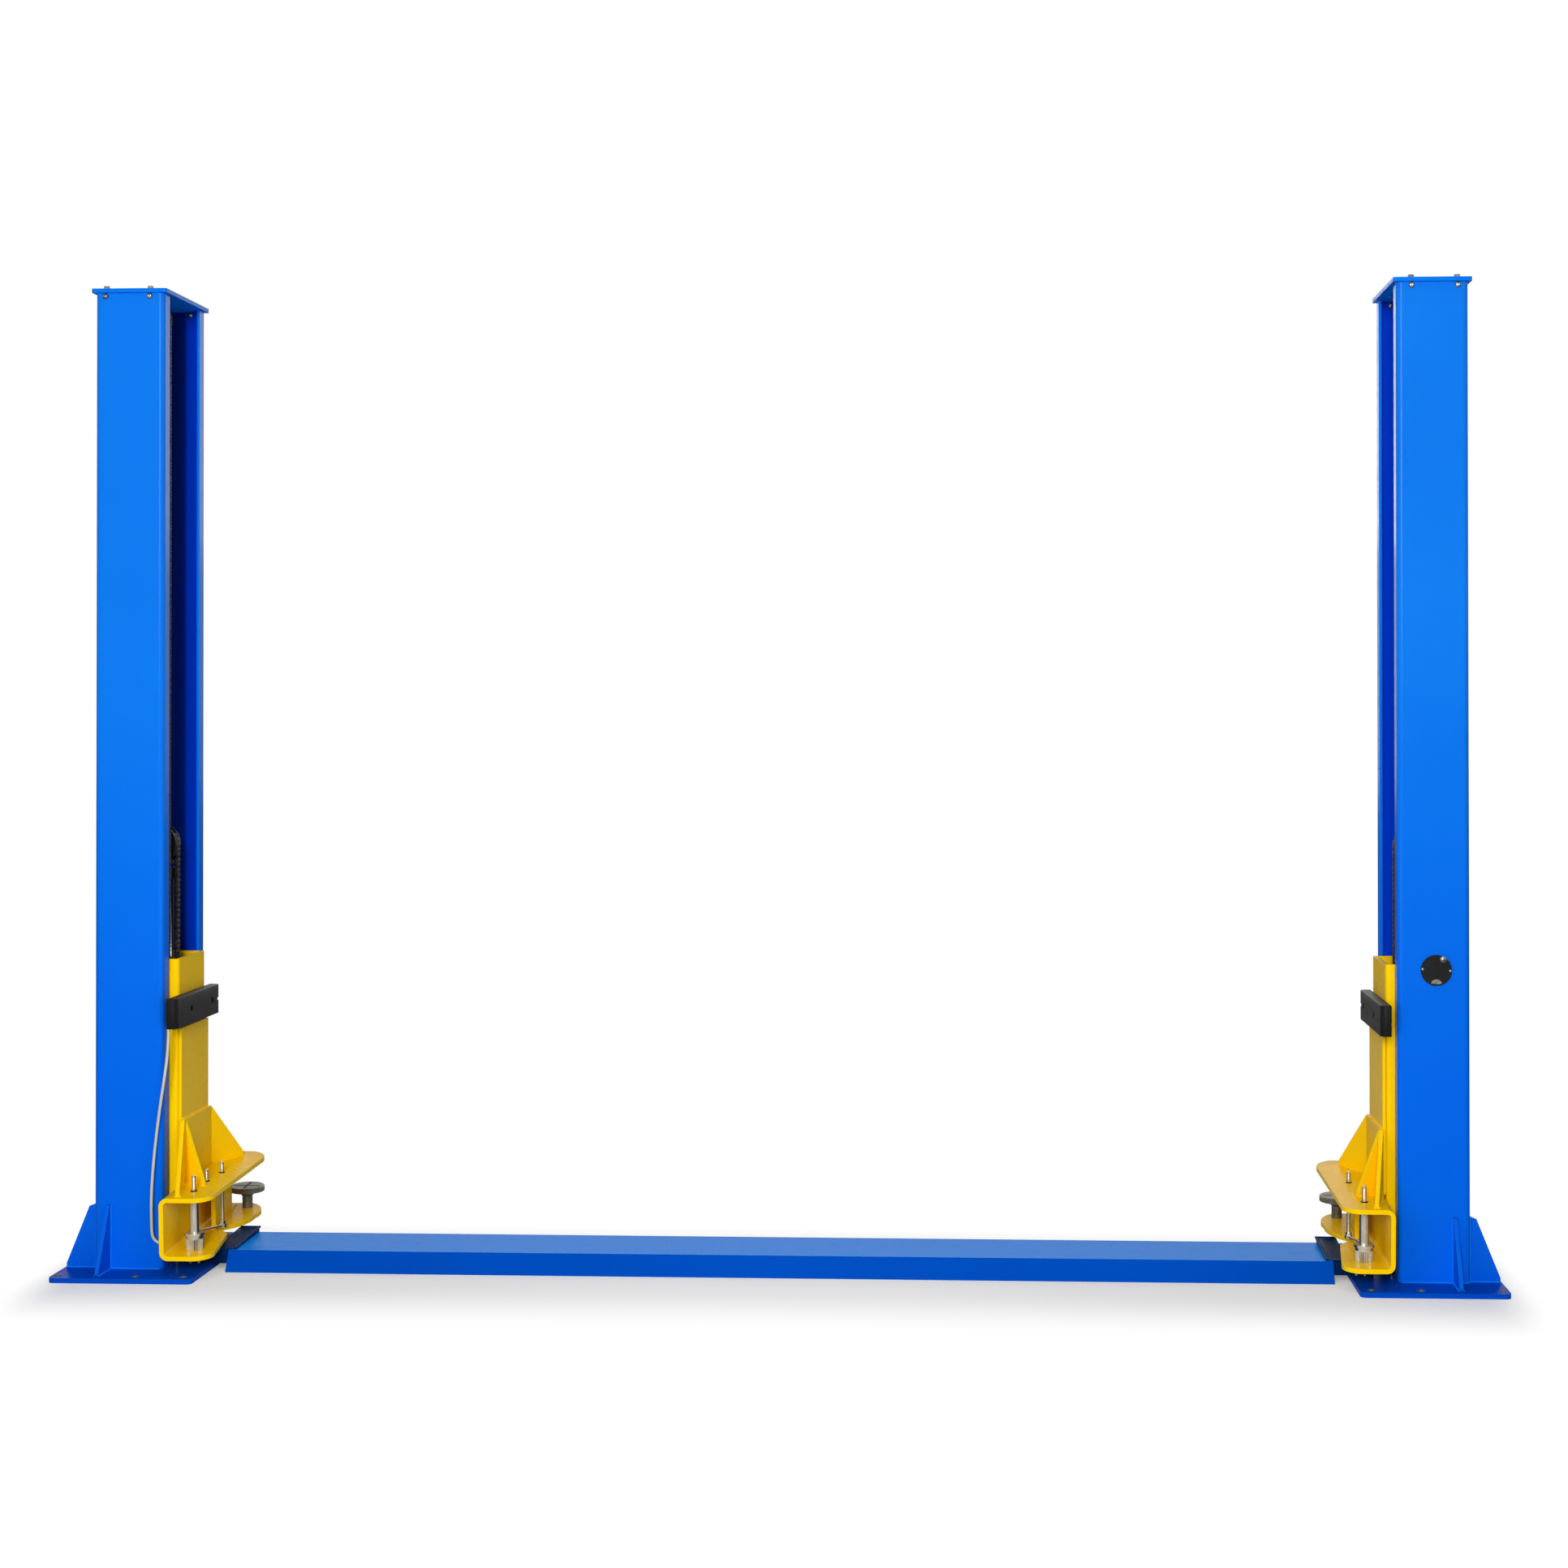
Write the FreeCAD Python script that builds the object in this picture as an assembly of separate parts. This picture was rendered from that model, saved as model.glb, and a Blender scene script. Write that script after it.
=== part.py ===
import FreeCAD
import Part
import math
import os

# Two post car lift with a floor cover between the posts, at its real size in millimetres.
# X runs across the lift, Y from front to back, Z up. The origin lies on the floor, midway
# between the posts. The left post is modelled and the right one is its mirror image.

V = FreeCAD.Vector

# Overall size
overall_height = 2400.0
outer_span = 3318.0

# Posts: folded steel sections that open towards each other
post_width = 170.0
post_depth = 320.0
post_wall = 8.0
post_bend_radius = 13.0
lip_width = 44.0
cap_thickness = 10.0
cap_overhang = 8.0
cap_corner_radius = 6.0

# Base plates, their anchor holes and their gussets
base_thickness = 12.0
base_outer_overhang = 75.0
base_inner_overhang = 104.0
base_end_overhang = 106.0
base_corner_radius = 14.0
anchor_hole_radius = 9.5
anchor_end_distance = 26.0
anchor_outer_distance = 15.0
anchor_inner_distance = 27.0
anchor_middle_offset = 130.0
side_gusset_height = 155.0
side_gusset_reach = 72.0
side_gusset_thickness = 10.0
side_gusset_top = 16.0
side_gusset_slant = 6.0
end_gusset_height = 155.0
end_gusset_reach = 86.0
end_gusset_thickness = 9.0
end_gusset_top = 10.0
end_gusset_setback = 33.0
gusset_toe = 10.0

# Running clearances
pad_clearance = 0.3
rod_clearance = 0.05
pin_clearance = 0.5
seat_gap = 0.3

# Carriage tube, sliding blocks and guard
tube_proud = 20.0
tube_back_gap = 34.0
tube_half_width = 104.0
tube_wall = 8.0
tube_corner_radius = 11.0
tube_top = 760.0
tube_bottom = 50.0
block_height = 70.0
block_end_distance = 24.0
guard_thickness = 26.0
guard_length = 336.0
guard_height = 73.0
guard_top = 672.0
guard_offset = -28.0
guard_chamfer = 9.0
guard_hole_radius = 7.0
guard_hole_depth = 12.0
guard_hole_y = 82.0

# Plates on the tube above the arm receiver
liner_thickness = 8.0
liner_top = 590.0
doubler_thickness = 8.0
doubler_top = 366.0
brace_thickness = 10.0
brace_toe = 10.0
front_brace_inward = 62.0
front_brace_end = -238.0
rear_brace_inward = 88.0
rear_brace_end = 197.0
brace_root_offset = 4.0
rib_inward = 92.0
rib_end = -128.0
rib_root_offset = 12.0

# Arm receiver: a channel that opens towards the other post and rises a little to the back.
# Its sizes are those before it is tilted about its lower front edge
receiver_tilt = 3.0
receiver_plate = 11.0
receiver_bend_radius = 20.0
receiver_bottom = 50.5
receiver_top = 202.0
receiver_front = -244.0
receiver_back = 247.0
receiver_nose = 100.0
receiver_inward = 141.0
receiver_widest = 150.0
receiver_tail = 108.0
front_corner = 54.0
back_corner = 79.0
front_swell = 0.2
corner_swell = 0.15

# Lower flange: a front lobe, a notch, and the rear arm plate on a narrow strip
lobe_inward = 138.0
lobe_root = 120.0
notch_inward = 95.0
notch_y = 5.0
notch_run = 38.0
strip_inward = 60.0
rear_plate_back = 266.0
rear_notch_inward = 84.0
rear_notch_y = 33.0
rear_lobe_inward = 134.0
rear_lobe_tail = 97.0
rear_lobe_corner = 110.0
rear_lobe_swell = 0.12

# Plate between the flanges, closer to the post at its back end
stiffener_inward = 80.0
stiffener_front = 4.0
stiffener_plate = 11.0
stiffener_back = 190.0
stiffener_back_inward = 64.0

# Arm restraint: a spring loaded pin with a toothed sleeve, and its lifting rod
pin_inward = 83.0
pin_y = -170.0
pin_radius = 11.0
pin_shoulder_gap = 14.0  # room for the pin to lift in under the top flange
pin_stud_radius = 5.0
pin_stud_length = 38.0
sleeve_radius = 21.5
sleeve_height = 34.0
tooth_count = 30
tooth_depth = 1.8
collar_height = 8.0
collar_radius = 20.5
link_ring_radius = 24.0
link_ring_thickness = 6.0
link_bar_radius = 3.0
link_eye_radius = 9.0
link_eye_height = 8.0
link_eye_lift = 4.0
pull_rod_inward = 93.0
pull_rod_y = 18.0
pull_rod_radius = 4.5
pull_rod_stud_length = 27.0
pull_rod_nut_radius = 7.5
pull_rod_nut_height = 7.0

# Rear arm pin with its round head
rear_pin_inward = 93.0
rear_pin_y = 227.0
rear_pin_radius = 13.0
rear_head_radius = 43.5
rear_head_thickness = 13.0
rear_head_stand = 56.0
rear_head_groove = 3.0
rear_groove_width = 6.0
rear_groove_margin = 9.0
rear_head_chamfer = 2.0
rear_cone_height = 13.0
rear_cone_radius = 25.0

# Lift cylinder, its chain and the chain roller
ram_inward = -54.0
barrel_radius = 26.0
barrel_bore_radius = 20.0
barrel_top = 980.0
barrel_foot = 90.0
barrel_foot_thickness = 18.0
barrel_foot_corner = 8.0
barrel_bore_bottom = 170.0
gland_length = 32.0
ram_radius = 14.0
piston_height = 24.0
piston_bottom = 190.0
fork_gap = 8.0
fork_base = 8.0
fork_plate = 6.0
fork_half_width = 26.0
roller_clearance = 9.0
roller_radius = 31.0
roller_width = 24.0
roller_pin_radius = 8.0
roller_pin_end = 5.0
cheek_gap = 1.0
chain_thickness = 10.0
chain_width = 22.0
chain_end_height = 700.0

# Equalising cable, which runs over a sheave under the cap
cable_radius = 4.5
cable_front_inward = -10.0
cable_y = -86.0
sheave_radius = 47.0
sheave_pitch_radius = 42.0
sheave_width = 14.0
sheave_clearance = 10.0
sheave_pin_radius = 10.0
sheave_pin_end = 4.0
hanger_plate = 6.0
hanger_half_width = 30.0
hanger_gap = 3.0
cable_anchor_height = 30.0
cable_anchor_radius = 9.0

# Floor cover and the channels that join it to the base plates
cover_height = 48.0
cover_half_width = 135.0
cover_half_top = 104.0
cover_plate = 4.0
cover_gap = 146.0
bridge_half_width = 90.0
bridge_plate = 5.0
bridge_start = 48.0
bridge_end = 176.0

# Release cable of the left arm restraint: it leaves the carriage tube behind the guard, hangs
# before the post and goes back through the web of the receiver. Points are (inward, y, z).
release_cable_radius = 3.5
gland_radius = 5.5
gland_height = 6.0
release_route = [
    (8.0, -tube_half_width - gland_height, 642.0),
    (8.0, -tube_half_width - gland_height - 20, 642.0),
    (9.5, -148.5, 631.0),
    (12.5, -159.5, 612.0),
    (15.5, -165.0, 576.0),
    (13.0, -171.0, 514.0),
    (0.0, -176.5, 420.0),
    (-12.5, -176.0, 325.0),
    (-20.0, -178.5, 236.0),
    (-21.5, -180.5, 170.0),
    (-20.2, -181.0, 125.0),
    (-19.1, -180.9, 98.1),
    (-12.1, -180.5, 86.0),
    (tube_proud - gland_height - 14, -180.0, 79.0),
    (tube_proud - gland_height, -180.0, 79.0)]

# Round inspection cover on the front of the right post
inspection_radius = 36.5
inspection_thickness = 5.0
inspection_height = 753.0
inspection_inward = -90.0
inspection_notch_radius = 8.0
inspection_notch_offset = 26.0

half_depth = post_depth / 2
lip_x = -(outer_span / 2 - post_width)
post_x = -outer_span / 2
post_top = overall_height - cap_thickness
opening_half = half_depth - lip_width
fork_bottom = barrel_top + fork_gap
roller_centre_height = fork_bottom + fork_base + roller_clearance + roller_radius
sheave_centre_height = post_top - sheave_radius - sheave_clearance
lower_plate_top = receiver_bottom + receiver_plate
sleeve_bottom = lower_plate_top + seat_gap


def inward(distance):
    # a distance from the plane of the left post's lips, towards the middle of the lift
    return lip_x + distance


def box(x0, x1, y0, y1, z0, z1):
    corner = V(min(x0, x1), min(y0, y1), min(z0, z1))
    return Part.makeBox(abs(x1 - x0), abs(y1 - y0), abs(z1 - z0), corner)


def round_bar(radius, z0, z1, x, y):
    return Part.makeCylinder(radius, z1 - z0, V(x, y, z0))


def cross_bar(radius, y0, y1, x, z):
    # a round bar along Y
    return Part.makeCylinder(radius, y1 - y0, V(x, y0, z), V(0, 1, 0))


def upright_edges(shape, radius):
    # rounds every vertical edge
    edges = [e for e in shape.Edges
             if abs(e.Vertexes[0].X - e.Vertexes[-1].X) < 1e-6
             and abs(e.Vertexes[0].Y - e.Vertexes[-1].Y) < 1e-6
             and e.Length > 1e-3]
    return shape.makeFillet(radius, edges)


def rounded_box(x0, x1, y0, y1, z0, z1, radius):
    return upright_edges(box(x0, x1, y0, y1, z0, z1), radius)


def outline(points, place):
    # points are (a, b) corners; a point after the word "by" is the middle of an arc that
    # ends at the next one. place turns (a, b) into a vector
    edges = []
    start = place(*points[0])
    middle = None
    take_middle = False
    for item in points[1:] + [points[0]]:
        if item == "by":
            take_middle = True
            continue
        here = place(*item)
        if take_middle:
            middle = here
            take_middle = False
            continue
        if middle is not None:
            edges.append(Part.Arc(start, middle, here).toShape())
            middle = None
        elif (here - start).Length > 1e-6:
            edges.append(Part.LineSegment(start, here).toShape())
        start = here
    return Part.Face(Part.Wire(edges))


def flat_plate(points, z0, z1):
    # a horizontal plate; its outline is in (inward, y)
    face = outline(points, lambda a, b: V(inward(a), b, z0))
    return face.extrude(V(0, 0, z1 - z0))


def upright_plate(points, x0, x1):
    # an upright plate across X; its outline is in (y, z)
    face = outline(points, lambda a, b: V(x0, a, b))
    return face.extrude(V(x1 - x0, 0, 0))


def side_plate(points, y0, y1):
    # an upright plate across Y; its outline is in (x, z)
    face = outline(points, lambda a, b: V(a, y0, b))
    return face.extrude(V(0, y1 - y0, 0))


def fused(shapes):
    whole = shapes[0]
    for shape in shapes[1:]:
        whole = whole.fuse(shape)
    return whole.removeSplitter()


def cut(shape, tools):
    for tool in tools:
        shape = shape.cut(tool)
    return shape


def tilted(shape):
    # sets a shape at the receiver's slope
    shape.rotate(V(0, receiver_front, receiver_bottom), V(1, 0, 0), receiver_tilt)
    return shape


def flange_level(y):
    # height of the receiver's top face above the floor at y
    slope = math.radians(receiver_tilt)
    rise = (receiver_top - receiver_bottom) / math.cos(slope)
    return receiver_bottom + rise + (y - receiver_front) * math.tan(slope)


def clear_of_receiver(shape):
    # cuts away what lies below the receiver's top face
    block = box(inward(0), inward(2 * receiver_widest), 2 * receiver_front, 2 * receiver_back,
                receiver_bottom, receiver_top)
    return shape.cut(tilted(block))


def both_ends(shape):
    # the same piece at the front and at the back of a post
    return [shape, shape.mirror(V(0, 0, 0), V(0, 1, 0))]


def base_plate():
    reach = half_depth + base_end_overhang
    x0 = post_x - base_outer_overhang
    x1 = inward(base_inner_overhang)
    plate = rounded_box(x0, x1, -reach, reach, 0, base_thickness, base_corner_radius)
    hole_y = reach - anchor_end_distance
    hole_x = [x0 + anchor_outer_distance,
              post_x + anchor_middle_offset,
              x1 - anchor_inner_distance]
    holes = [round_bar(anchor_hole_radius, -1, base_thickness + 1, x, y)
             for x in hole_x for y in (-hole_y, hole_y)]
    return cut(plate, holes)


def post():
    inner_radius = post_bend_radius - post_wall
    section = rounded_box(post_x, lip_x, -half_depth, half_depth,
                          base_thickness, post_top, post_bend_radius)
    hollow = rounded_box(post_x + post_wall, lip_x - post_wall,
                         -half_depth + post_wall, half_depth - post_wall,
                         base_thickness - 1, post_top + 1, inner_radius)
    mouth = box(lip_x - post_wall - 1, lip_x + 1, -opening_half, opening_half,
                base_thickness - 1, post_top + 1)
    return cut(section, [hollow, mouth])


def cap_plate():
    reach = half_depth + cap_overhang
    return rounded_box(post_x - cap_overhang, lip_x + cap_overhang, -reach, reach,
                       post_top, overall_height, cap_corner_radius)


def side_gussets():
    # trapezoids on the outer wall of the post, near its front and back faces
    z0 = base_thickness
    top = z0 + side_gusset_height
    points = [(post_x, z0),
              (post_x - side_gusset_reach, z0),
              (post_x - side_gusset_reach, z0 + gusset_toe),
              (post_x - side_gusset_top, top - side_gusset_slant),
              (post_x, top)]
    edge = half_depth - post_bend_radius
    plate = side_plate(points, -edge, -edge + side_gusset_thickness)
    return both_ends(plate)


def end_gussets():
    # narrow triangles that stand on the base plate before the front and back faces
    z0 = base_thickness
    top = z0 + end_gusset_height
    x0 = post_x + end_gusset_setback
    points = [(-half_depth, z0),
              (-half_depth - end_gusset_reach, z0),
              (-half_depth - end_gusset_reach, z0 + gusset_toe),
              (-half_depth - end_gusset_top, top),
              (-half_depth, top)]
    return both_ends(upright_plate(points, x0, x0 + end_gusset_thickness))


def barrel():
    x = inward(ram_inward)
    foot = rounded_box(x - barrel_foot / 2, x + barrel_foot / 2,
                       -barrel_foot / 2, barrel_foot / 2,
                       base_thickness, base_thickness + barrel_foot_thickness,
                       barrel_foot_corner)
    body = round_bar(barrel_radius, base_thickness, barrel_top, x, 0)
    bore = round_bar(barrel_bore_radius, barrel_bore_bottom, barrel_top - gland_length, x, 0)
    gland = round_bar(ram_radius + rod_clearance, barrel_top - gland_length - 1,
                      barrel_top + 1, x, 0)
    return cut(fused([foot, body]), [bore, gland])


def ram():
    # rod with its piston, and the fork that holds the chain roller
    x = inward(ram_inward)
    rod = round_bar(ram_radius, piston_bottom, fork_bottom + fork_base / 2, x, 0)
    piston = round_bar(barrel_bore_radius - seat_gap, piston_bottom,
                       piston_bottom + piston_height, x, 0)
    inner = roller_width / 2 + cheek_gap
    outer = inner + fork_plate
    seat = box(x - fork_half_width, x + fork_half_width, -outer, outer,
               fork_bottom, fork_bottom + fork_base)
    cheek_points = [(x - fork_half_width, fork_bottom),
                    (x - fork_half_width, roller_centre_height),
                    "by", (x, roller_centre_height + fork_half_width),
                    (x + fork_half_width, roller_centre_height),
                    (x + fork_half_width, fork_bottom)]
    cheek = side_plate(cheek_points, -outer, -inner)
    pin = cross_bar(roller_pin_radius, -outer - roller_pin_end, outer + roller_pin_end,
                    x, roller_centre_height)
    return fused([rod, piston, seat, cheek, cheek.mirror(V(0, 0, 0), V(0, 1, 0)), pin])


def roller():
    x = inward(ram_inward)
    half = roller_width / 2
    wheel = cross_bar(roller_radius - seat_gap, -half, half, x, roller_centre_height)
    hole = cross_bar(roller_pin_radius + seat_gap, -half - 1, half + 1, x,
                     roller_centre_height)
    return cut(wheel, [hole])


def chain():
    x = inward(ram_inward)
    outer = roller_radius + chain_thickness
    half = chain_width / 2
    z = roller_centre_height
    low = chain_end_height
    points = [(x - outer, low), (x - outer, z),
              "by", (x, z + outer),
              (x + outer, z), (x + outer, low),
              (x + roller_radius, low), (x + roller_radius, z),
              "by", (x, z + roller_radius),
              (x - roller_radius, z), (x - roller_radius, low)]
    return side_plate(points, -half, half)


def sheave_wheel():
    x = inward(cable_front_inward - sheave_pitch_radius)
    half = sheave_width / 2
    floor = sheave_pitch_radius - cable_radius - seat_gap
    bore = sheave_pin_radius + seat_gap
    seat = cable_radius + seat_gap
    profile = [(bore, -half), (sheave_radius, -half), (sheave_pitch_radius, -seat),
               (floor, -seat), (floor, seat), (sheave_pitch_radius, seat),
               (sheave_radius, half), (bore, half)]
    face = outline(profile, lambda a, b: V(x + a, cable_y + b, sheave_centre_height))
    return face.revolve(V(x, cable_y, sheave_centre_height), V(0, 1, 0), 360)


def sheave_hanger():
    # two cheeks under the cap and the pin between them
    x = inward(cable_front_inward - sheave_pitch_radius)
    half = hanger_half_width
    inner = sheave_width / 2 + hanger_gap
    outer = inner + hanger_plate
    low = sheave_centre_height - half
    cheek = box(x - half, x + half, cable_y + inner, cable_y + outer, low, post_top)
    other = box(x - half, x + half, cable_y - outer, cable_y - inner, low, post_top)
    pin = cross_bar(sheave_pin_radius, cable_y - outer - sheave_pin_end,
                    cable_y + outer + sheave_pin_end, x, sheave_centre_height)
    return fused([cheek, other, pin])


def equalising_cable():
    # taut over the sheave, with both ends held in the base plate
    x_front = inward(cable_front_inward)
    x_back = x_front - 2 * sheave_pitch_radius
    x_mid = (x_front + x_back) / 2
    z = sheave_centre_height
    ends = base_thickness + cable_anchor_height
    strands = [round_bar(cable_radius, base_thickness, z, x, cable_y)
               for x in (x_front, x_back)]
    ring = Part.Circle(V(x_front, cable_y, z), V(0, 0, 1), cable_radius).toShape()
    over = Part.Face(Part.Wire([ring])).revolve(V(x_mid, cable_y, z), V(0, -1, 0), 180)
    anchors = [round_bar(cable_anchor_radius, base_thickness, ends, x, cable_y)
               for x in (x_front, x_back)]
    return fused(strands + [over] + anchors)


def carriage_tube():
    x0 = post_x + post_wall + tube_back_gap
    x1 = inward(tube_proud)
    outer = rounded_box(x0, x1, -tube_half_width, tube_half_width,
                        tube_bottom, tube_top, tube_corner_radius)
    inner = rounded_box(x0 + tube_wall, x1 - tube_wall,
                        -tube_half_width + tube_wall, tube_half_width - tube_wall,
                        tube_bottom - 1, tube_top + 1, tube_corner_radius - tube_wall)
    return cut(outer, [inner])


def sliding_blocks():
    # four blocks between the sides of the tube and the inside of the post
    x0 = post_x + post_wall + pad_clearance
    x1 = lip_x - post_wall - pad_clearance
    y0 = tube_half_width
    y1 = half_depth - post_wall - pad_clearance
    corner = post_bend_radius - post_wall + pad_clearance
    blocks = []
    for z0 in (tube_bottom + block_end_distance, tube_top - block_end_distance - block_height):
        block = box(x0, x1, y0, y1, z0, z0 + block_height)
        outer_edges = [e for e in block.Edges
                       if abs(e.Vertexes[0].Z - e.Vertexes[-1].Z) > 1
                       and e.CenterOfMass.y > y1 - 1]
        blocks += both_ends(block.makeChamfer(corner, outer_edges))
    return blocks


def door_guard():
    x0 = inward(tube_proud)
    x1 = x0 + guard_thickness
    y0 = guard_offset - guard_length / 2
    y1 = guard_offset + guard_length / 2
    bar = box(x0, x1, y0, y1, guard_top - guard_height, guard_top)
    ends = [e for e in bar.Edges
            if abs(e.Vertexes[0].Z - e.Vertexes[-1].Z) > 1 and e.CenterOfMass.x > x1 - 1]
    bar = bar.makeChamfer(guard_chamfer, ends)
    z = guard_top - guard_height / 2
    holes = [Part.makeCylinder(guard_hole_radius, guard_hole_depth + 1,
                               V(x1 - guard_hole_depth, y, z), V(1, 0, 0))
             for y in (-guard_hole_y, guard_hole_y)]
    return cut(bar, holes)


def face_plates():
    x0 = inward(tube_proud)
    x1 = x0 + liner_thickness
    x2 = x1 + doubler_thickness
    liner = box(x0, x1, -tube_half_width, tube_half_width, receiver_top, liner_top)
    doubler = box(x1, x2, -tube_half_width, tube_half_width, receiver_top, doubler_top)
    return clear_of_receiver(fused([liner, doubler]))


def brace(inward_end, y_end, y_root):
    # an upright triangle on the receiver; it leans against the tube at y_root
    a0 = tube_proud + liner_thickness + doubler_thickness / 2
    run = math.hypot(inward_end - a0, y_end - y_root)
    foot = receiver_plate / 2
    face = outline([(0, flange_level(y_root) - foot), (run, flange_level(y_end) - foot),
                    (run, flange_level(y_end) + brace_toe), (0, doubler_top)],
                   lambda a, b: V(a, -brace_thickness / 2, b))
    plate = face.extrude(V(0, brace_thickness, 0))
    plate.rotate(V(0, 0, 0), V(0, 0, 1),
                 math.degrees(math.atan2(y_end - y_root, inward_end - a0)))
    plate.translate(V(inward(a0), y_root, 0))
    return clear_of_receiver(plate).cut(face_plates())


def carriage_braces():
    return [brace(front_brace_inward, front_brace_end, -tube_half_width - brace_root_offset),
            brace(rear_brace_inward, rear_brace_end, tube_half_width + brace_root_offset)]


def carriage_rib():
    return brace(rib_inward, rib_end, -tube_half_width + rib_root_offset)


def swell(start, end, share):
    # the middle of an arc that stands out from its chord by this share of the chord
    run = end[0] - start[0]
    rise = end[1] - start[1]
    return ((start[0] + end[0]) / 2 + rise * share, (start[1] + end[1]) / 2 - run * share)


def top_outline():
    nose = (receiver_nose, receiver_front)
    shoulder = (receiver_inward, receiver_front + front_corner)
    hip = (receiver_widest, receiver_back - back_corner)
    tail = (receiver_tail, receiver_back)
    return [(tube_proud, receiver_front), nose,
            "by", swell(nose, shoulder, front_swell), shoulder, hip,
            "by", swell(hip, tail, corner_swell), tail,
            (tube_proud, receiver_back)]


def lower_outline():
    nose = (receiver_nose, receiver_front)
    shoulder = (lobe_inward, receiver_front + front_corner)
    return [(tube_proud, receiver_front), nose,
            "by", swell(nose, shoulder, front_swell), shoulder,
            (lobe_root, notch_y - notch_run), (notch_inward, notch_y),
            (strip_inward, notch_y), (strip_inward, receiver_back),
            (tube_proud, receiver_back)]


def rear_outline():
    notch = (rear_notch_inward, rear_notch_y)
    hip = (rear_lobe_inward, rear_plate_back - rear_lobe_corner)
    tail = (rear_lobe_tail, rear_plate_back)
    return [(strip_inward, rear_notch_y), notch,
            "by", swell(notch, hip, rear_lobe_swell), hip,
            "by", swell(hip, tail, corner_swell), tail,
            (tube_proud, rear_plate_back), (tube_proud, receiver_back),
            (strip_inward, receiver_back)]


def arm_receiver():
    x0 = inward(tube_proud)
    x1 = x0 + receiver_plate
    r = receiver_bend_radius
    long_edge = (receiver_back - receiver_front) / 5  # the folds are longer than this
    web = box(x0, x1, receiver_front, receiver_back, receiver_bottom, receiver_top)
    top = flat_plate(top_outline(), receiver_top - receiver_plate, receiver_top)
    low = flat_plate(lower_outline(), receiver_bottom, lower_plate_top)
    whole = fused([web, top, low])
    bends = [e for e in whole.Edges
             if abs(e.Vertexes[0].Y - e.Vertexes[-1].Y) > long_edge
             and e.CenterOfMass.x < x0 + 0.01
             and (e.CenterOfMass.z > receiver_top - 0.01
                  or e.CenterOfMass.z < receiver_bottom + 0.01)]
    whole = whole.makeFillet(r, bends)
    folds = [e for e in whole.Edges
             if abs(e.Vertexes[0].Y - e.Vertexes[-1].Y) > long_edge
             and abs(e.CenterOfMass.x - x1) < 0.01
             and (abs(e.CenterOfMass.z - receiver_top + receiver_plate) < 0.01
                  or abs(e.CenterOfMass.z - lower_plate_top) < 0.01)]
    whole = whole.makeFillet(r - receiver_plate, folds)
    z0 = receiver_top - receiver_plate - 1
    z1 = receiver_top + 1
    pin_hole = round_bar(pin_stud_radius + pin_clearance, z0, z1, inward(pin_inward), pin_y)
    rod_hole = round_bar(pull_rod_radius + pin_clearance, z0, z1,
                         inward(pull_rod_inward), pull_rod_y)
    return tilted(cut(whole, [pin_hole, rod_hole]))


def rear_plate():
    plate = flat_plate(rear_outline(), receiver_bottom, lower_plate_top)
    hole = round_bar(rear_pin_radius + seat_gap, receiver_bottom - 1, lower_plate_top + 1,
                     inward(rear_pin_inward), rear_pin_y)
    return tilted(cut(plate, [hole]))


def stiffener():
    # an upright plate between the flanges, from the notch to the rear arm pin
    points = [(stiffener_inward - stiffener_plate, stiffener_front),
              (stiffener_inward, stiffener_front),
              (stiffener_back_inward, stiffener_back),
              (stiffener_back_inward - stiffener_plate, stiffener_back)]
    return tilted(flat_plate(points, lower_plate_top, receiver_top - receiver_plate))


def restraint_pin():
    # pin with its upper stud and the toothed sleeve at its foot
    x = inward(pin_inward)
    z0 = sleeve_bottom
    shoulder = receiver_top - receiver_plate - pin_shoulder_gap
    shaft = round_bar(pin_radius, z0, shoulder, x, pin_y)
    stud = round_bar(pin_stud_radius, shoulder - 1, receiver_top + pin_stud_length, x, pin_y)
    collar = round_bar(collar_radius, z0 + sleeve_height - collar_height,
                       z0 + sleeve_height, x, pin_y)
    step = math.pi / tooth_count
    corners = []
    for i in range(2 * tooth_count):
        radius = sleeve_radius if i % 2 else sleeve_radius - tooth_depth
        corners.append((pin_inward + radius * math.cos(i * step),
                        pin_y + radius * math.sin(i * step)))
    teeth = flat_plate(corners, z0, z0 + sleeve_height - collar_height)
    return tilted(fused([shaft, stud, collar, teeth]))


def restraint_link():
    # ring that sits on the sleeve, and the bar that runs down to the eye of the lifting rod
    x = inward(pin_inward)
    rod_x = inward(pull_rod_inward)
    z0 = sleeve_bottom + sleeve_height
    eye_low = lower_plate_top + link_eye_lift
    ring = round_bar(link_ring_radius, z0, z0 + link_ring_thickness, x, pin_y)
    eye = round_bar(link_eye_radius, eye_low, eye_low + link_eye_height, rod_x, pull_rod_y)
    along = V(rod_x - x, pull_rod_y - pin_y, 0).normalize()
    start = V(x, pin_y, z0 + link_ring_thickness / 2) + along * (link_ring_radius - 1)
    end = V(rod_x, pull_rod_y, eye_low + link_bar_radius)
    bar = Part.makeCylinder(link_bar_radius, (end - start).Length, start, end - start)
    holes = [round_bar(pin_radius + rod_clearance, z0 - 1, z0 + link_ring_thickness + 1,
                       x, pin_y),
             round_bar(pull_rod_radius + rod_clearance, eye_low - 1,
                       eye_low + link_eye_height + 1, rod_x, pull_rod_y)]
    return tilted(cut(fused([ring, eye, bar]), holes))


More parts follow.
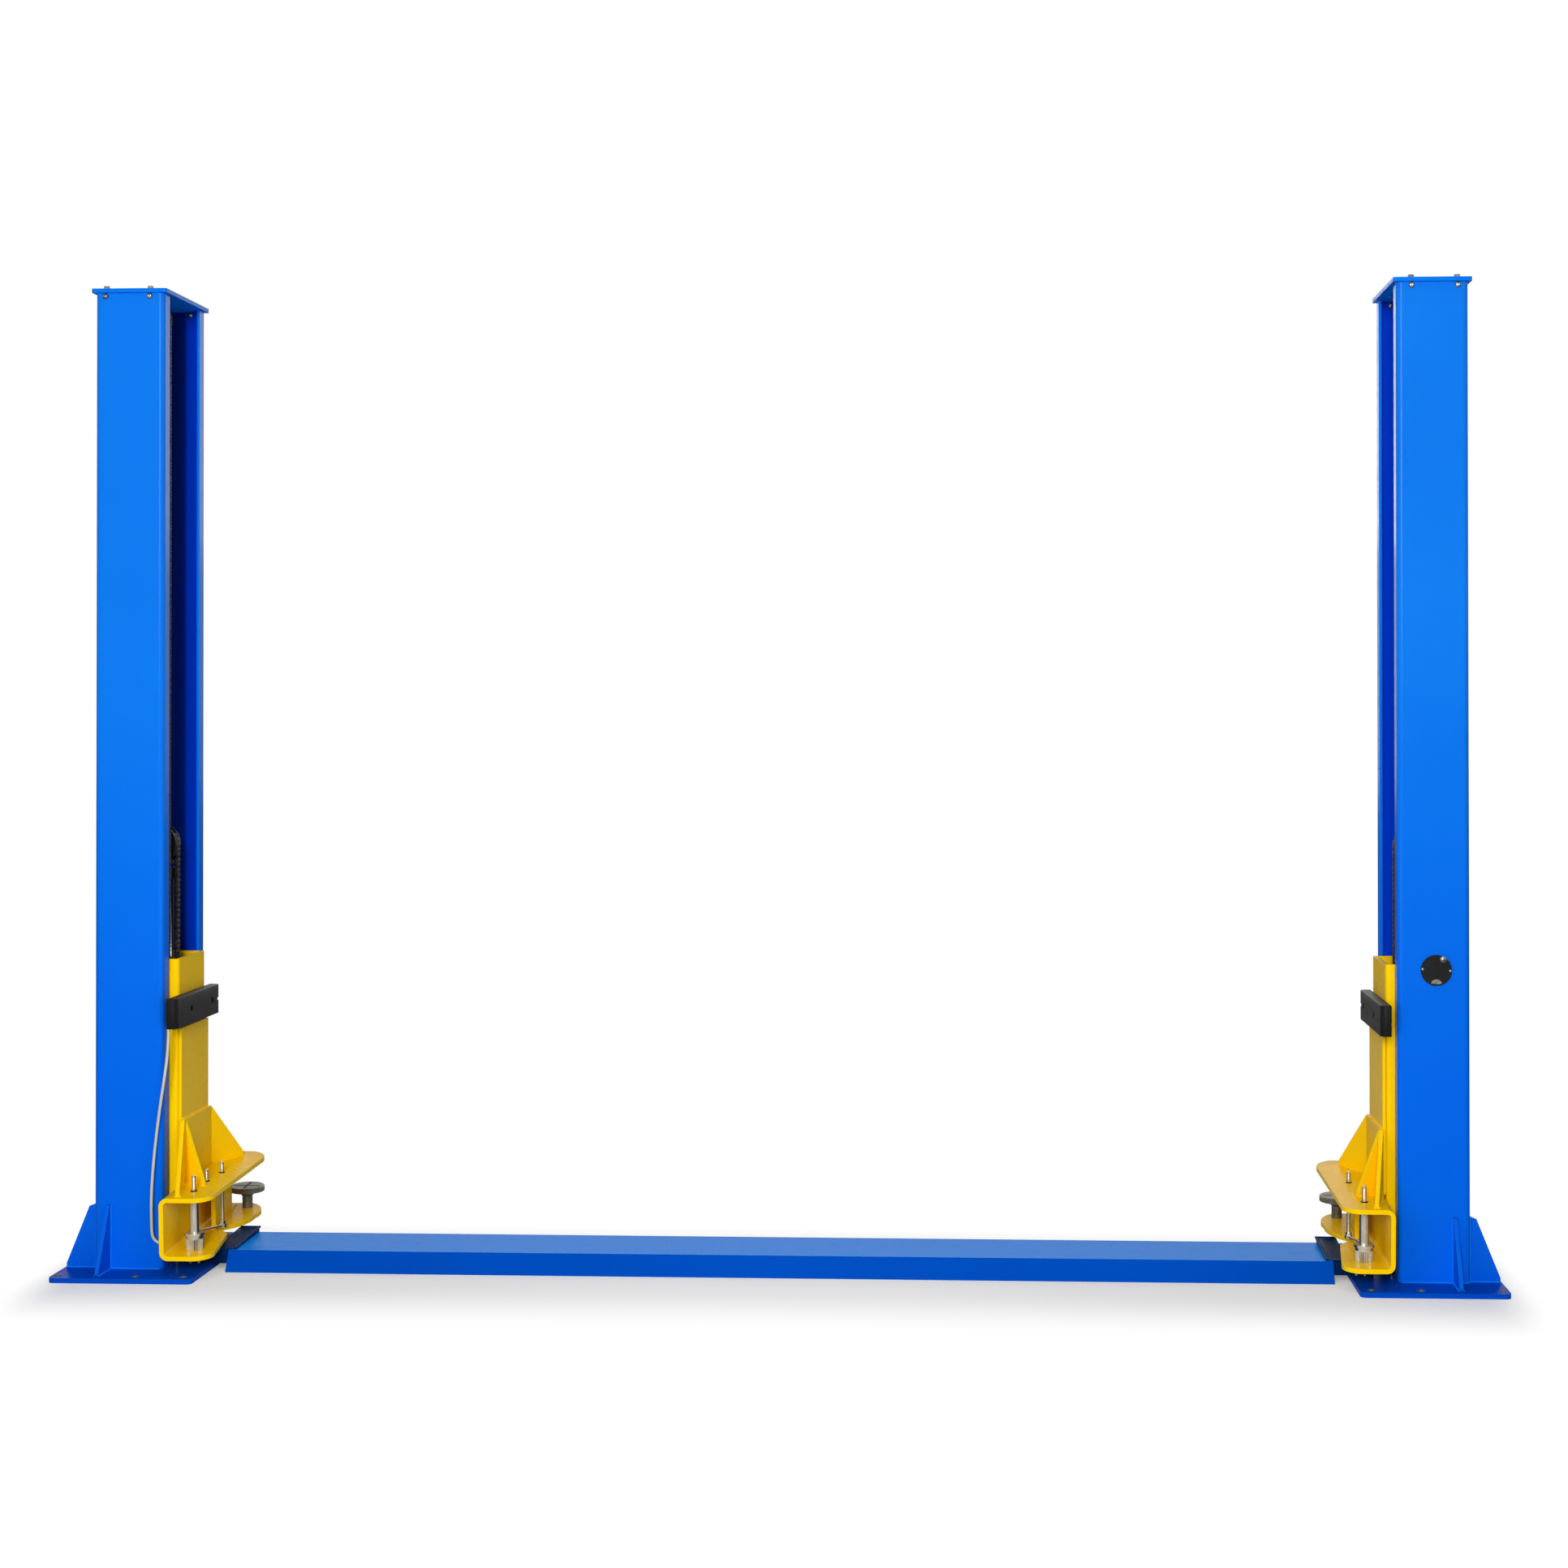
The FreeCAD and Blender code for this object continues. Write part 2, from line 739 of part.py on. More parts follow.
def pull_rod():
    x = inward(pull_rod_inward)
    eye_low = lower_plate_top + link_eye_lift
    nut_low = eye_low + link_eye_height
    rod = round_bar(pull_rod_radius, eye_low - 1, receiver_top + pull_rod_stud_length,
                    x, pull_rod_y)
    corners = [(pull_rod_nut_radius * math.cos(math.radians(60 * i)),
                pull_rod_nut_radius * math.sin(math.radians(60 * i))) for i in range(6)]
    nut = flat_plate([(pull_rod_inward + a, pull_rod_y + b) for a, b in corners],
                     nut_low, nut_low + pull_rod_nut_height)
    return tilted(fused([rod, nut]))


def rear_pin():
    x = inward(rear_pin_inward)
    top = lower_plate_top + rear_head_stand
    head_low = top - rear_head_thickness
    stem = round_bar(rear_pin_radius, receiver_bottom, head_low, x, rear_pin_y)
    cone = Part.makeCone(rear_pin_radius, rear_cone_radius, rear_cone_height,
                         V(x, rear_pin_y, head_low - rear_cone_height))
    head = round_bar(rear_head_radius, head_low, top, x, rear_pin_y)
    rim = [e for e in head.Edges if abs(e.CenterOfMass.z - top) < 0.01]
    head = head.makeChamfer(rear_head_chamfer, rim)
    arm = rear_head_radius - rear_groove_margin
    half = rear_groove_width / 2
    low = top - rear_head_groove
    grooves = [box(x - arm, x + arm, rear_pin_y - half, rear_pin_y + half, low, top + 1),
               box(x - half, x + half, rear_pin_y - arm, rear_pin_y + arm, low, top + 1)]
    return tilted(cut(fused([stem, cone, head]), grooves))


def release_cable():
    # straight runs joined by arcs that touch both of them
    points = [V(inward(a), b, c) for a, b, c in release_route]
    spans = []
    radii = []
    length = 0
    here = points[0]
    for before, corner, after in zip(points, points[1:], points[2:]):
        back = before - corner
        ahead = after - corner
        turn = math.pi - back.getAngle(ahead)
        tangent = 0.45 * min(back.Length, ahead.Length)
        radius = tangent / math.tan(turn / 2)
        radii.append(round(radius))
        back.normalize()
        ahead.normalize()
        first = corner + back * tangent
        centre = corner + (back + ahead).normalize() * math.hypot(radius, tangent)
        spans.append(round_span(here, first))
        face = disc_face(first, back)
        spans.append(face.revolve(centre, ahead.cross(back), math.degrees(turn)))
        length += (first - here).Length + radius * turn
        here = corner + ahead * tangent
    spans.append(round_span(here, points[-1]))
    length += (points[-1] - here).Length
    cord = fused(spans)
    section = math.pi * release_cable_radius ** 2
    print("release cable", round(length), "mm long; volume over section times length",
          round(cord.Volume / (section * length), 3), "; bend radii", radii)
    return cord


def disc_face(centre, normal):
    ring = Part.Circle(centre, normal, release_cable_radius).toShape()
    return Part.Face(Part.Wire([ring]))


def round_span(start, end):
    return Part.makeCylinder(release_cable_radius, (end - start).Length, start, end - start)


def cable_glands():
    a, y, z = release_route[0]
    upper = Part.makeCylinder(gland_radius, gland_height, V(inward(a), y, z), V(0, 1, 0))
    a, y, z = release_route[-1]
    lower = Part.makeCylinder(gland_radius, gland_height, V(inward(a), y, z), V(1, 0, 0))
    return Part.Compound([upper, lower])


def floor_cover():
    # folded plate, open below and at both ends
    x0 = inward(cover_gap)
    slope = math.hypot(cover_half_width - cover_half_top, cover_height)
    side_run = cover_plate * slope / cover_height
    top_run = side_run - cover_plate * (cover_half_width - cover_half_top) / cover_height
    under = cover_height - cover_plate
    points = [(-cover_half_width, 0),
              (-cover_half_top, cover_height),
              (cover_half_top, cover_height),
              (cover_half_width, 0),
              (cover_half_width - side_run, 0),
              (cover_half_top - top_run, under),
              (-cover_half_top + top_run, under),
              (-cover_half_width + side_run, 0)]
    return upright_plate(points, x0, -x0)


def cover_bridge():
    # channel on the base plate that runs in under the floor cover
    x0 = inward(bridge_start)
    x1 = inward(bridge_end)
    z0 = base_thickness
    z1 = cover_height - cover_plate
    outer = box(x0, x1, -bridge_half_width, bridge_half_width, z0, z1)
    inner = box(x0 - 1, x1 + 1, -bridge_half_width + bridge_plate,
                bridge_half_width - bridge_plate, z0 - 1, z1 - bridge_plate)
    return outer.cut(inner)


def inspection_cover():
    x = -inward(inspection_inward)
    z = inspection_height
    disc = cross_bar(inspection_radius, -half_depth - inspection_thickness, -half_depth, x, z)
    notch = cross_bar(inspection_notch_radius, -half_depth - inspection_thickness - 1,
                      -half_depth - inspection_thickness + 3, x, z - inspection_notch_offset)
    return disc.cut(notch)


left_nodes = {
    "base_plate": base_plate(),
    "post": post(),
    "cap_plate": cap_plate(),
    "base_gussets": side_gussets() + end_gussets(),
    "lift_cylinder": barrel(),
    "ram": [ram(), roller()],
    "lift_chain": chain(),
    "cable_sheave": [sheave_hanger(), sheave_wheel()],
    "equalising_cable": equalising_cable(),
    "carriage_tube": carriage_tube(),
    "sliding_blocks": sliding_blocks(),
    "door_guard": door_guard(),
    "face_plates": face_plates(),
    "carriage_braces": carriage_braces() + [carriage_rib()],
    "arm_receiver": arm_receiver(),
    "rear_arm_plate": rear_plate(),
    "receiver_stiffener": stiffener(),
    "restraint_pin": restraint_pin(),
    "restraint_link": [restraint_link(), pull_rod()],
    "rear_arm_pin": rear_pin(),
}

nodes = {
    "floor_cover": floor_cover(),
    "left_cover_bridge": cover_bridge(),
    "right_cover_bridge": cover_bridge().mirror(V(0, 0, 0), V(1, 0, 0)),
    "inspection_cover": inspection_cover(),
    "release_cable": release_cable(),
    "cable_glands": cable_glands(),
}
for name, shape in left_nodes.items():
    solids = shape if isinstance(shape, list) else [shape]
    solids = [s for item in solids for s in item.Solids]
    left = Part.Compound(solids) if len(solids) > 1 else solids[0]
    nodes["left_" + name] = left
    nodes["right_" + name] = left.mirror(V(0, 0, 0), V(1, 0, 0))

os.makedirs("parts", exist_ok=True)
for name, shape in nodes.items():
    if not shape.isValid():
        print("not valid:", name)
    shape.exportStep("parts/" + name + ".step")
print(len(nodes), "nodes")
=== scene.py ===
import math

import bmesh
import bpy
from mathutils import Matrix, Vector


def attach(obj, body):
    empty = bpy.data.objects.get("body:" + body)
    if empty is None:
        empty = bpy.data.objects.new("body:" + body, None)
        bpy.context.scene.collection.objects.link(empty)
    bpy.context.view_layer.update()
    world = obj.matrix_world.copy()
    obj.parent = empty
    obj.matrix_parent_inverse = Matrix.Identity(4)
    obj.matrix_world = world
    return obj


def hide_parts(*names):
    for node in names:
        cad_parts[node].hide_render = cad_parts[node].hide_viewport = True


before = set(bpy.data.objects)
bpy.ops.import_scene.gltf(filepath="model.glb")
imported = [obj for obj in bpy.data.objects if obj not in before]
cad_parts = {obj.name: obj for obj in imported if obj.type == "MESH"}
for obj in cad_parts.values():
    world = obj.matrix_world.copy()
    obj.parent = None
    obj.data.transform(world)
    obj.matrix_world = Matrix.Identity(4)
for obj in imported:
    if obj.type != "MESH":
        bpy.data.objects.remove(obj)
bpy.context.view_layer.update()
scene = bpy.context.scene
print("frame loaded:", len(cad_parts), "nodes")

# Everything is in metres. Each side is the mirror image of the other, so a pair of pieces is
# written once, for the left. "Inward" is measured from the lips of the left post to the middle.
lift = {
    "lip": -1.489,
    "outerFace": -1.659,
    "postHalfDepth": 0.160,
    "postWall": 0.008,
    "postTop": 2.390,
    "capTop": 2.400,
    "baseTop": 0.012,
    "tubeFace": 0.020,
    "tubeHalf": 0.104,
}


def inward(distance):
    return lift["lip"] + distance


def place(a, y, z):
    return Vector((inward(a), y, z))


# the arm receiver is tilted about its lower front edge, and what stands on it tilts with it
receiver = {"tilt": 3.0, "front": -0.244, "bottom": 0.0505, "top": 0.202, "plate": 0.011}
slope = Matrix.Rotation(math.radians(receiver["tilt"]), 4, "X")
receiverUp = slope @ Vector((0, 0, 1))


def onReceiver(a, y, z):
    hinge = Vector((0, receiver["front"], receiver["bottom"]))
    return hinge + slope @ (place(a, y, z) - hinge)


# camera, fitted to the corners of the posts, caps and base plates in the photograph
view = {
    "place": (0.529163, -6.153413, 1.395217),
    "yaw": 2.862,
    "pitch": 0.438,
    "roll": 0.035,
    "lens": 57.36,
    "shift": (-0.05356, -0.0658),
}
cameraData = bpy.data.cameras.new("camera")
cameraData.sensor_width = 36
cameraData.lens = view["lens"]
cameraData.shift_x, cameraData.shift_y = view["shift"]
cameraData.clip_end = 60
camera = bpy.data.objects.new("camera", cameraData)
scene.collection.objects.link(camera)
camera.matrix_world = (Matrix.Translation(view["place"])
                       @ Matrix.Rotation(math.radians(view["yaw"]), 4, "Z")
                       @ Matrix.Rotation(math.radians(view["pitch"]), 4, "X")
                       @ Matrix.Rotation(math.radians(view["roll"]), 4, "Y")
                       @ Matrix.Rotation(math.radians(90), 4, "X"))
scene.camera = camera
scene.view_settings.view_transform = "Standard"
print("camera set")


def screenColour(red, green, blue):
    # a colour as it is seen on screen, 0 to 255, in the linear values that shaders take
    values = []
    for value in (red / 255, green / 255, blue / 255):
        values.append(value / 12.92 if value <= 0.04045 else ((value + 0.055) / 1.055) ** 2.4)
    return (*values, 1.0)


def addNode(tree, kind, inputs=None, **settings):
    # inputs: a value, or the output that feeds it, for each socket by name or number
    node = tree.nodes.new(kind)
    for key, value in settings.items():
        setattr(node, key, value)
    for key, value in (inputs or {}).items():
        if isinstance(value, bpy.types.NodeSocket):
            tree.links.new(value, node.inputs[key])
        else:
            node.inputs[key].default_value = value
    return node


def addMath(tree, operation, first, second=0.0, clamped=False):
    return addNode(tree, "ShaderNodeMath", {0: first, 1: second}, operation=operation,
                   use_clamp=clamped).outputs[0]


def addVectorMath(tree, operation, first, second=(0, 0, 0), output="Vector"):
    return addNode(tree, "ShaderNodeVectorMath", {0: first, 1: second},
                   operation=operation).outputs[output]


def mapRange(tree, value, fromLow, fromHigh, low=0.0, high=1.0, kind="LINEAR"):
    return addNode(tree, "ShaderNodeMapRange", {
        "Value": value, "From Min": fromLow, "From Max": fromHigh, "To Min": low,
        "To Max": high}, interpolation_type=kind).outputs["Result"]


def blankMaterial(name):
    material = bpy.data.materials.new(name)
    material.use_nodes = True
    material.node_tree.nodes.clear()
    return material, material.node_tree


def addShader(tree, inputs):
    shader = addNode(tree, "ShaderNodeBsdfPrincipled", inputs)
    addNode(tree, "ShaderNodeOutputMaterial", {"Surface": shader.outputs["BSDF"]})


noiseBand = (0.3, 0.7)  # where nearly all of the noise's values lie


def noiseOn(tree, size, detail=3.0, stretch=None):
    # noise on the piece's own coordinates; size is the width of its grains in metres
    coords = addNode(tree, "ShaderNodeTexCoord").outputs["Object"]
    if stretch:
        coords = addNode(tree, "ShaderNodeMapping",
                         {"Vector": coords, "Scale": stretch}).outputs["Vector"]
    return addNode(tree, "ShaderNodeTexNoise",
                   {"Vector": coords, "Scale": 1 / size, "Detail": detail}).outputs["Fac"]


def shadeBy(tree, noise, low, high):
    ramp = addNode(tree, "ShaderNodeValToRGB", {"Fac": noise})
    for index, colour in enumerate((low, high)):
        ramp.color_ramp.elements[index].position = noiseBand[index]
        ramp.color_ramp.elements[index].color = screenColour(*colour)
    return ramp.outputs["Color"]


def spread(tree, noise, low, high):
    return mapRange(tree, noise, *noiseBand, low, high)


def mixColours(tree, factor, first, second):
    return addNode(tree, "ShaderNodeMix", {0: factor, 6: first, 7: screenColour(*second)},
                   data_type="RGBA").outputs[2]


def softEdges(tree, radius):
    return addNode(tree, "ShaderNodeBevel", {"Radius": radius}, samples=4).outputs["Normal"]


def roughNormal(tree, height, strength, distance, edgeRadius):
    return addNode(tree, "ShaderNodeBump", {
        "Strength": strength, "Distance": distance, "Height": height,
        "Normal": softEdges(tree, edgeRadius)}).outputs["Normal"]


def edgeFactor(tree, radius, gain, patches):
    # 0 on flat faces and up to 1 along edges, broken up by the patches
    normal = addNode(tree, "ShaderNodeNewGeometry").outputs["Normal"]
    facing = addVectorMath(tree, "DOT_PRODUCT", softEdges(tree, radius), normal, "Value")
    turned = addMath(tree, "SUBTRACT", 1.0, facing, True)
    times = addMath(tree, "MULTIPLY", turned, spread(tree, patches, gain * 0.15, gain))
    return addMath(tree, "MINIMUM", times, 1.0)


def maskOf(tree, steps):
    # product of soft steps along the object's own |X|, |Y| and |Z|, or along the part of its
    # normal that points up or to a side
    place = addNode(tree, "ShaderNodeSeparateXYZ", {
        0: addNode(tree, "ShaderNodeTexCoord").outputs["Object"]}).outputs
    normal = addNode(tree, "ShaderNodeSeparateXYZ", {
        0: addNode(tree, "ShaderNodeNewGeometry").outputs["Normal"]}).outputs
    axes = {"X": place["X"], "Y": place["Y"], "Z": place["Z"],
            "up": normal["Z"], "side": normal["X"]}
    share = 1.0
    for axis, start, end, low, high in steps:
        size = addMath(tree, "ABSOLUTE", axes[axis])
        step = mapRange(tree, size, start, end, low, high, "SMOOTHSTEP")
        share = addMath(tree, "MULTIPLY", share, step)
    return share


# mixes in the painted-light zones: shade, sheen and reflection painted into the colour by place
def withPaintedLight(tree, body, values):
    for colour, steps in values.get("paintedLightZones", []):
        body = mixColours(tree, maskOf(tree, steps), body, colour)
    return body


def paintMaterial(name, paint):
    # sprayed paint on steel: slow changes of shade, orange peel, softened edges, and edges
    # lightened partly as rubbed wear and partly as painted highlight
    material, tree = blankMaterial(name)
    body = shadeBy(tree, noiseOn(tree, paint["patchSize"]), paint["shade"], paint["colour"])
    patches = noiseOn(tree, 0.03, 4.0)
    wornAndLitEdges = edgeFactor(tree, paint["edgeRadius"], paint["edgeGain"], patches)
    body = mixColours(tree, wornAndLitEdges, body, paint["edgeColour"])
    addShader(tree, {
        "Base Color": withPaintedLight(tree, body, paint),
        "Roughness": spread(tree, patches, paint["gloss"] - 0.05, paint["gloss"] + 0.06),
        "Specular IOR Level": paint["specular"],
        "Normal": roughNormal(tree, noiseOn(tree, 0.0022, 2.0), paint["peel"], 0.0003,
                              paint["edgeRadius"])})
    return material


def metalMaterial(name, metal):
    # bare or plated metal with cloudy plating and fine tool marks
    material, tree = blankMaterial(name)
    body = shadeBy(tree, noiseOn(tree, metal["cloudSize"], 4.0), metal["dark"], metal["light"])
    marks = noiseOn(tree, metal["markSize"], 2.0, metal["markStretch"])
    addShader(tree, {
        "Base Color": withPaintedLight(tree, body, metal),
        "Metallic": metal["metallic"],
        "Roughness": spread(tree, marks, metal["smooth"], metal["rough"]),
        "Normal": roughNormal(tree, marks, metal["relief"], 0.0002, 0.0005)})
    return material


def plasticMaterial(name, plastic):
    # moulded rubber, nylon or cable sheath: dull, with a fine grain and paler edges, partly worn
    # and partly painted highlight
    material, tree = blankMaterial(name)
    patches = noiseOn(tree, plastic["patchSize"], 4.0)
    body = shadeBy(tree, patches, plastic["shade"], plastic["colour"])
    wornAndLitEdges = edgeFactor(tree, 0.0015, plastic["edgeGain"], patches)
    grain = noiseOn(tree, plastic["grainSize"], 3.0)
    addShader(tree, {
        "Base Color": mixColours(tree, wornAndLitEdges, body, plastic["edgeColour"]),
        "Roughness": spread(tree, grain, plastic["gloss"] - 0.06, plastic["gloss"] + 0.08),
        "Specular IOR Level": plastic["specular"],
        "Normal": roughNormal(tree, grain, plastic["relief"], 0.0003, 0.001)})
    return material


# the usual values stand where a finish names none of its own; a painted-light zone paints shade,
# sheen and reflection into a finish by place, with steps of (axis, start, end, share at the start,
# share at the end)
usualPaint = {"edgeColour": (40, 120, 240), "edgeRadius": 0.0022, "edgeGain": 1.0,
              "patchSize": 0.6, "gloss": 0.22, "specular": 0.012, "peel": 0.06}
usualMetal = {"metallic": 0.6, "markStretch": (1, 1, 1)}
# steps that find the inner faces of the post's section, where painted shade goes
shadeInsidePost = [("X", 1.6525, 1.6545, 1.0, 0.0), ("Y", 0.1530, 0.1545, 1.0, 0.0)]
paints = {
    "bluePaint": {"colour": (4, 124, 238), "shade": (2, 114, 232), "edgeColour": (60, 150, 252),
                  "gloss": 0.28, "specular": 0.03, "peel": 0.04},
    # painted shade: darker towards the floor, and dark inside the section where the channel shades
    # itself, most of all on its web
    "postPaint": {"colour": (14, 124, 236), "shade": (10, 116, 230),
                  "edgeColour": (60, 150, 252), "gloss": 0.20, "specular": 0.045, "peel": 0.05,
                  "paintedLightZones": [((0, 100, 228), [("Z", 0.3, 1.7, 1.0, 0.0)]),
                            ((0, 62, 220), [("X", 1.490, 1.503, 0.0, 1.0), *shadeInsidePost]),
                            ((0, 36, 132), [("X", 1.530, 1.542, 0.0, 1.0), *shadeInsidePost])]},
    "footPaint": {"colour": (0, 98, 226), "shade": (0, 90, 216), "edgeColour": (70, 150, 250),
                  "edgeRadius": 0.0026, "edgeGain": 1.4, "specular": 0.05, "peel": 0.08},
    # floor cover: its faces that point up are lightened as a painted sheen of light from above
    "coverPaint": {"colour": (0, 68, 178), "shade": (0, 64, 170),
                   "paintedLightZones": [((4, 142, 255), [("up", 0.5, 0.8, 0.0, 1.0)])]},
    # a blue darkened as painted shade, for the cover bridge and the pads in the receiver's shadow
    "paintedShadeBlue": {"colour": (4, 44, 96), "shade": (2, 38, 84), "edgeColour": (30, 84, 190),
                    "patchSize": 0.3, "gloss": 0.24, "specular": 0.010},
    "deepBluePaint": {"colour": (0, 74, 192), "shade": (0, 68, 182)},
    "yellowPaint": {"colour": (255, 210, 0), "shade": (250, 200, 0),
                    "edgeColour": (255, 228, 60), "edgeRadius": 0.0020, "edgeGain": 0.9,
                    "patchSize": 0.25, "gloss": 0.30, "specular": 0.06, "peel": 0.02},
    "blackPaint": {"colour": (22, 23, 25), "shade": (15, 16, 18), "edgeColour": (80, 82, 86),
                   "edgeRadius": 0.0012, "edgeGain": 1.2, "patchSize": 0.1, "gloss": 0.38,
                   "specular": 0.14, "peel": 0.15},
}
metals = {
    "polishedRod": {"dark": (196, 198, 202), "light": (224, 226, 230), "metallic": 1.0,
                    "cloudSize": 0.05, "markSize": 0.002, "markStretch": (1, 1, 0.04),
                    "smooth": 0.10, "rough": 0.18, "relief": 0.05},
    "oiledChain": {"dark": (22, 20, 18), "light": (58, 54, 48), "cloudSize": 0.012,
                   "markSize": 0.002, "smooth": 0.28, "rough": 0.5, "relief": 0.25},
    "steelRope": {"dark": (26, 26, 28), "light": (58, 57, 56), "metallic": 0.7,
                  "cloudSize": 0.02, "markSize": 0.0012, "smooth": 0.34, "rough": 0.5,
                  "relief": 0.3},
    "plainSteel": {"dark": (104, 103, 98), "light": (162, 162, 158), "metallic": 0.95,
                   "cloudSize": 0.02, "markSize": 0.0016, "markStretch": (1, 1, 0.3),
                   "smooth": 0.22, "rough": 0.36, "relief": 0.12},
    # turned steel: the sides that face along X are darkened as a painted reflection of dark
    # surroundings
    "turnedSteel": {"dark": (192, 189, 176), "light": (218, 215, 203), "cloudSize": 0.03,
                    "markSize": 0.004, "markStretch": (1, 1, 0.1), "smooth": 0.24,
                    "rough": 0.34, "relief": 0.03,
                    "paintedLightZones": [((44, 42, 34), [("side", 0.60, 0.88, 0.0, 1.0)])]},
    "dullSteel": {"dark": (84, 80, 68), "light": (122, 118, 102), "cloudSize": 0.03,
                  "markSize": 0.003, "smooth": 0.4, "rough": 0.58, "relief": 0.3},
}
plastics = {
    "nylon": {"colour": (226, 224, 210), "shade": (208, 205, 190), "edgeColour": (238, 237, 228),
              "edgeGain": 0.8, "patchSize": 0.05, "grainSize": 0.002, "gloss": 0.5,
              "specular": 0.4, "relief": 0.12},
    "guardRubber": {"colour": (20, 20, 20), "shade": (12, 12, 12), "edgeColour": (52, 52, 52),
                    "edgeGain": 1.0, "patchSize": 0.06, "grainSize": 0.0012, "gloss": 0.5,
                    "specular": 0.12, "relief": 0.35},
    "cableSheath": {"colour": (206, 202, 186), "shade": (188, 184, 168),
                    "edgeColour": (222, 218, 204), "edgeGain": 0.3, "patchSize": 0.08,
                    "grainSize": 0.0015, "gloss": 0.42, "specular": 0.45, "relief": 0.15},
}
finishes = {}
for name, paint in paints.items():
    finishes[name] = paintMaterial(name, {**usualPaint, **paint})
for name, metal in metals.items():
    finishes[name] = metalMaterial(name, {**usualMetal, **metal})
for name, plastic in plastics.items():
    finishes[name] = plasticMaterial(name, plastic)
nodeFinishes = {
    "base_plate": "deepBluePaint", "post": "postPaint", "cap_plate": "bluePaint",
    "base_gussets": "footPaint", "lift_cylinder": "blackPaint", "ram": "polishedRod",
    "lift_chain": "oiledChain", "cable_sheave": "blackPaint",
    "equalising_cable": "steelRope", "carriage_tube": "yellowPaint",
    "sliding_blocks": "nylon", "door_guard": "guardRubber", "face_plates": "yellowPaint",
    "carriage_braces": "yellowPaint", "arm_receiver": "yellowPaint",
    "rear_arm_plate": "yellowPaint", "receiver_stiffener": "yellowPaint",
    "restraint_pin": "turnedSteel", "restraint_link": "turnedSteel",
    "rear_arm_pin": "dullSteel", "cover_bridge": "paintedShadeBlue", "floor_cover": "coverPaint",
    "inspection_cover": "blackPaint", "release_cable": "cableSheath",
    "cable_glands": "blackPaint",
}
for nodeName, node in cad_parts.items():
    plainName = nodeName.removeprefix("left_").removeprefix("right_")
    for slot in node.material_slots:
        slot.material = finishes[nodeFinishes[plainName]]
print("finishes made:", len(finishes))


# making of shapes

def finishMesh(name, shape, finish, body):
    mesh = bpy.data.meshes.new(name)
    bmesh.ops.recalc_face_normals(shape, faces=shape.faces)
    shape.to_mesh(mesh)
    shape.free()
    mesh.materials.append(finishes[finish])
    mesh.shade_smooth()
    mesh.set_sharp_from_angle(angle=math.radians(38))
    piece = bpy.data.objects.new(name, mesh)
    scene.collection.objects.link(piece)
    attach(piece, body)
    return piece


def addPair(name, shape, finish, body, standsFor=()):
    # the left piece and its mirror image; body and standsFor are named without the side
    for side in ("left", "right"):
        copy = shape.copy()
        if side == "right":
            bmesh.ops.transform(copy, matrix=Matrix.Scale(-1, 4, (1, 0, 0)), verts=copy.verts)
            bmesh.ops.reverse_faces(copy, faces=copy.faces)
        bodyName = body if body == "frame" else side + "_" + body
        piece = finishMesh(side + "_" + name, copy, finish, bodyName)
        if standsFor:
            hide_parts(*[side + "_" + node for node in standsFor])
    shape.free()


def addLoft(shape, outlines, turn=Matrix.Identity(4), closed=False):
    # faces from outline to outline, moved by the matrix turn; an outline of one point is a tip,
    # and a closed row joins its last outline to its first
    rings = [[shape.verts.new(turn @ Vector(point)) for point in outline]
             for outline in outlines]
    for low, high in zip(rings, rings[1:] + rings[:1] if closed else rings[1:]):
        sides = max(len(low), len(high))
        for i in range(sides):
            j = (i + 1) % sides
            if len(low) == 1:
                shape.faces.new((low[0], high[j], high[i]))
            elif len(high) == 1:
                shape.faces.new((low[i], low[j], high[0]))
            else:
                shape.faces.new((low[i], low[j], high[j], high[i]))
    if not closed:
        for end in (rings[0][::-1], rings[-1]):
            if len(end) > 1:
                shape.faces.new(end)


def turnTo(axis):
    return Vector((0, 0, 1)).rotation_difference(Vector(axis)).to_matrix().to_4x4()


def linePoints(start, end, count):
    start, end = Vector(start), Vector(end)
    return [start.lerp(end, i / (count - 1)) for i in range(count)]


def circle(radius, sides, height=0.0):
    angles = [2 * math.pi * i / sides for i in range(sides)]
    return [(radius * math.cos(angle), radius * math.sin(angle), height) for angle in angles]


def addLathe(shape, centre, axis, profile, sides=24):
    # profile: (radius, height) from the foot up, turned about the axis through the centre;
    # one that ends where it starts makes a ring, with no faces across its hole
    ringShaped = profile[0] == profile[-1]
    outlines = [circle(radius, sides, height) if radius else [(0, 0, height)]
                for radius, height in (profile[:-1] if ringShaped else profile)]
    addLoft(shape, outlines, Matrix.Translation(centre) @ turnTo(axis), ringShaped)


def addPrism(shape, corners, turn, low, high, bevel=0.0):
    # upright prism over flat corners, moved by the matrix turn; bevel draws in both ends
    corners = [Vector((x, y, 0)) for x, y in corners]
    middle = sum(corners, Vector()) / len(corners)
    levels = [(low, bevel), (low + bevel, 0), (high - bevel, 0), (high, bevel)]
    if not bevel:
        levels = [(low, 0), (high, 0)]
    addLoft(shape, [[corner + (middle - corner).normalized() * draw + Vector((0, 0, height))
                     for corner in corners] for height, draw in levels], turn)


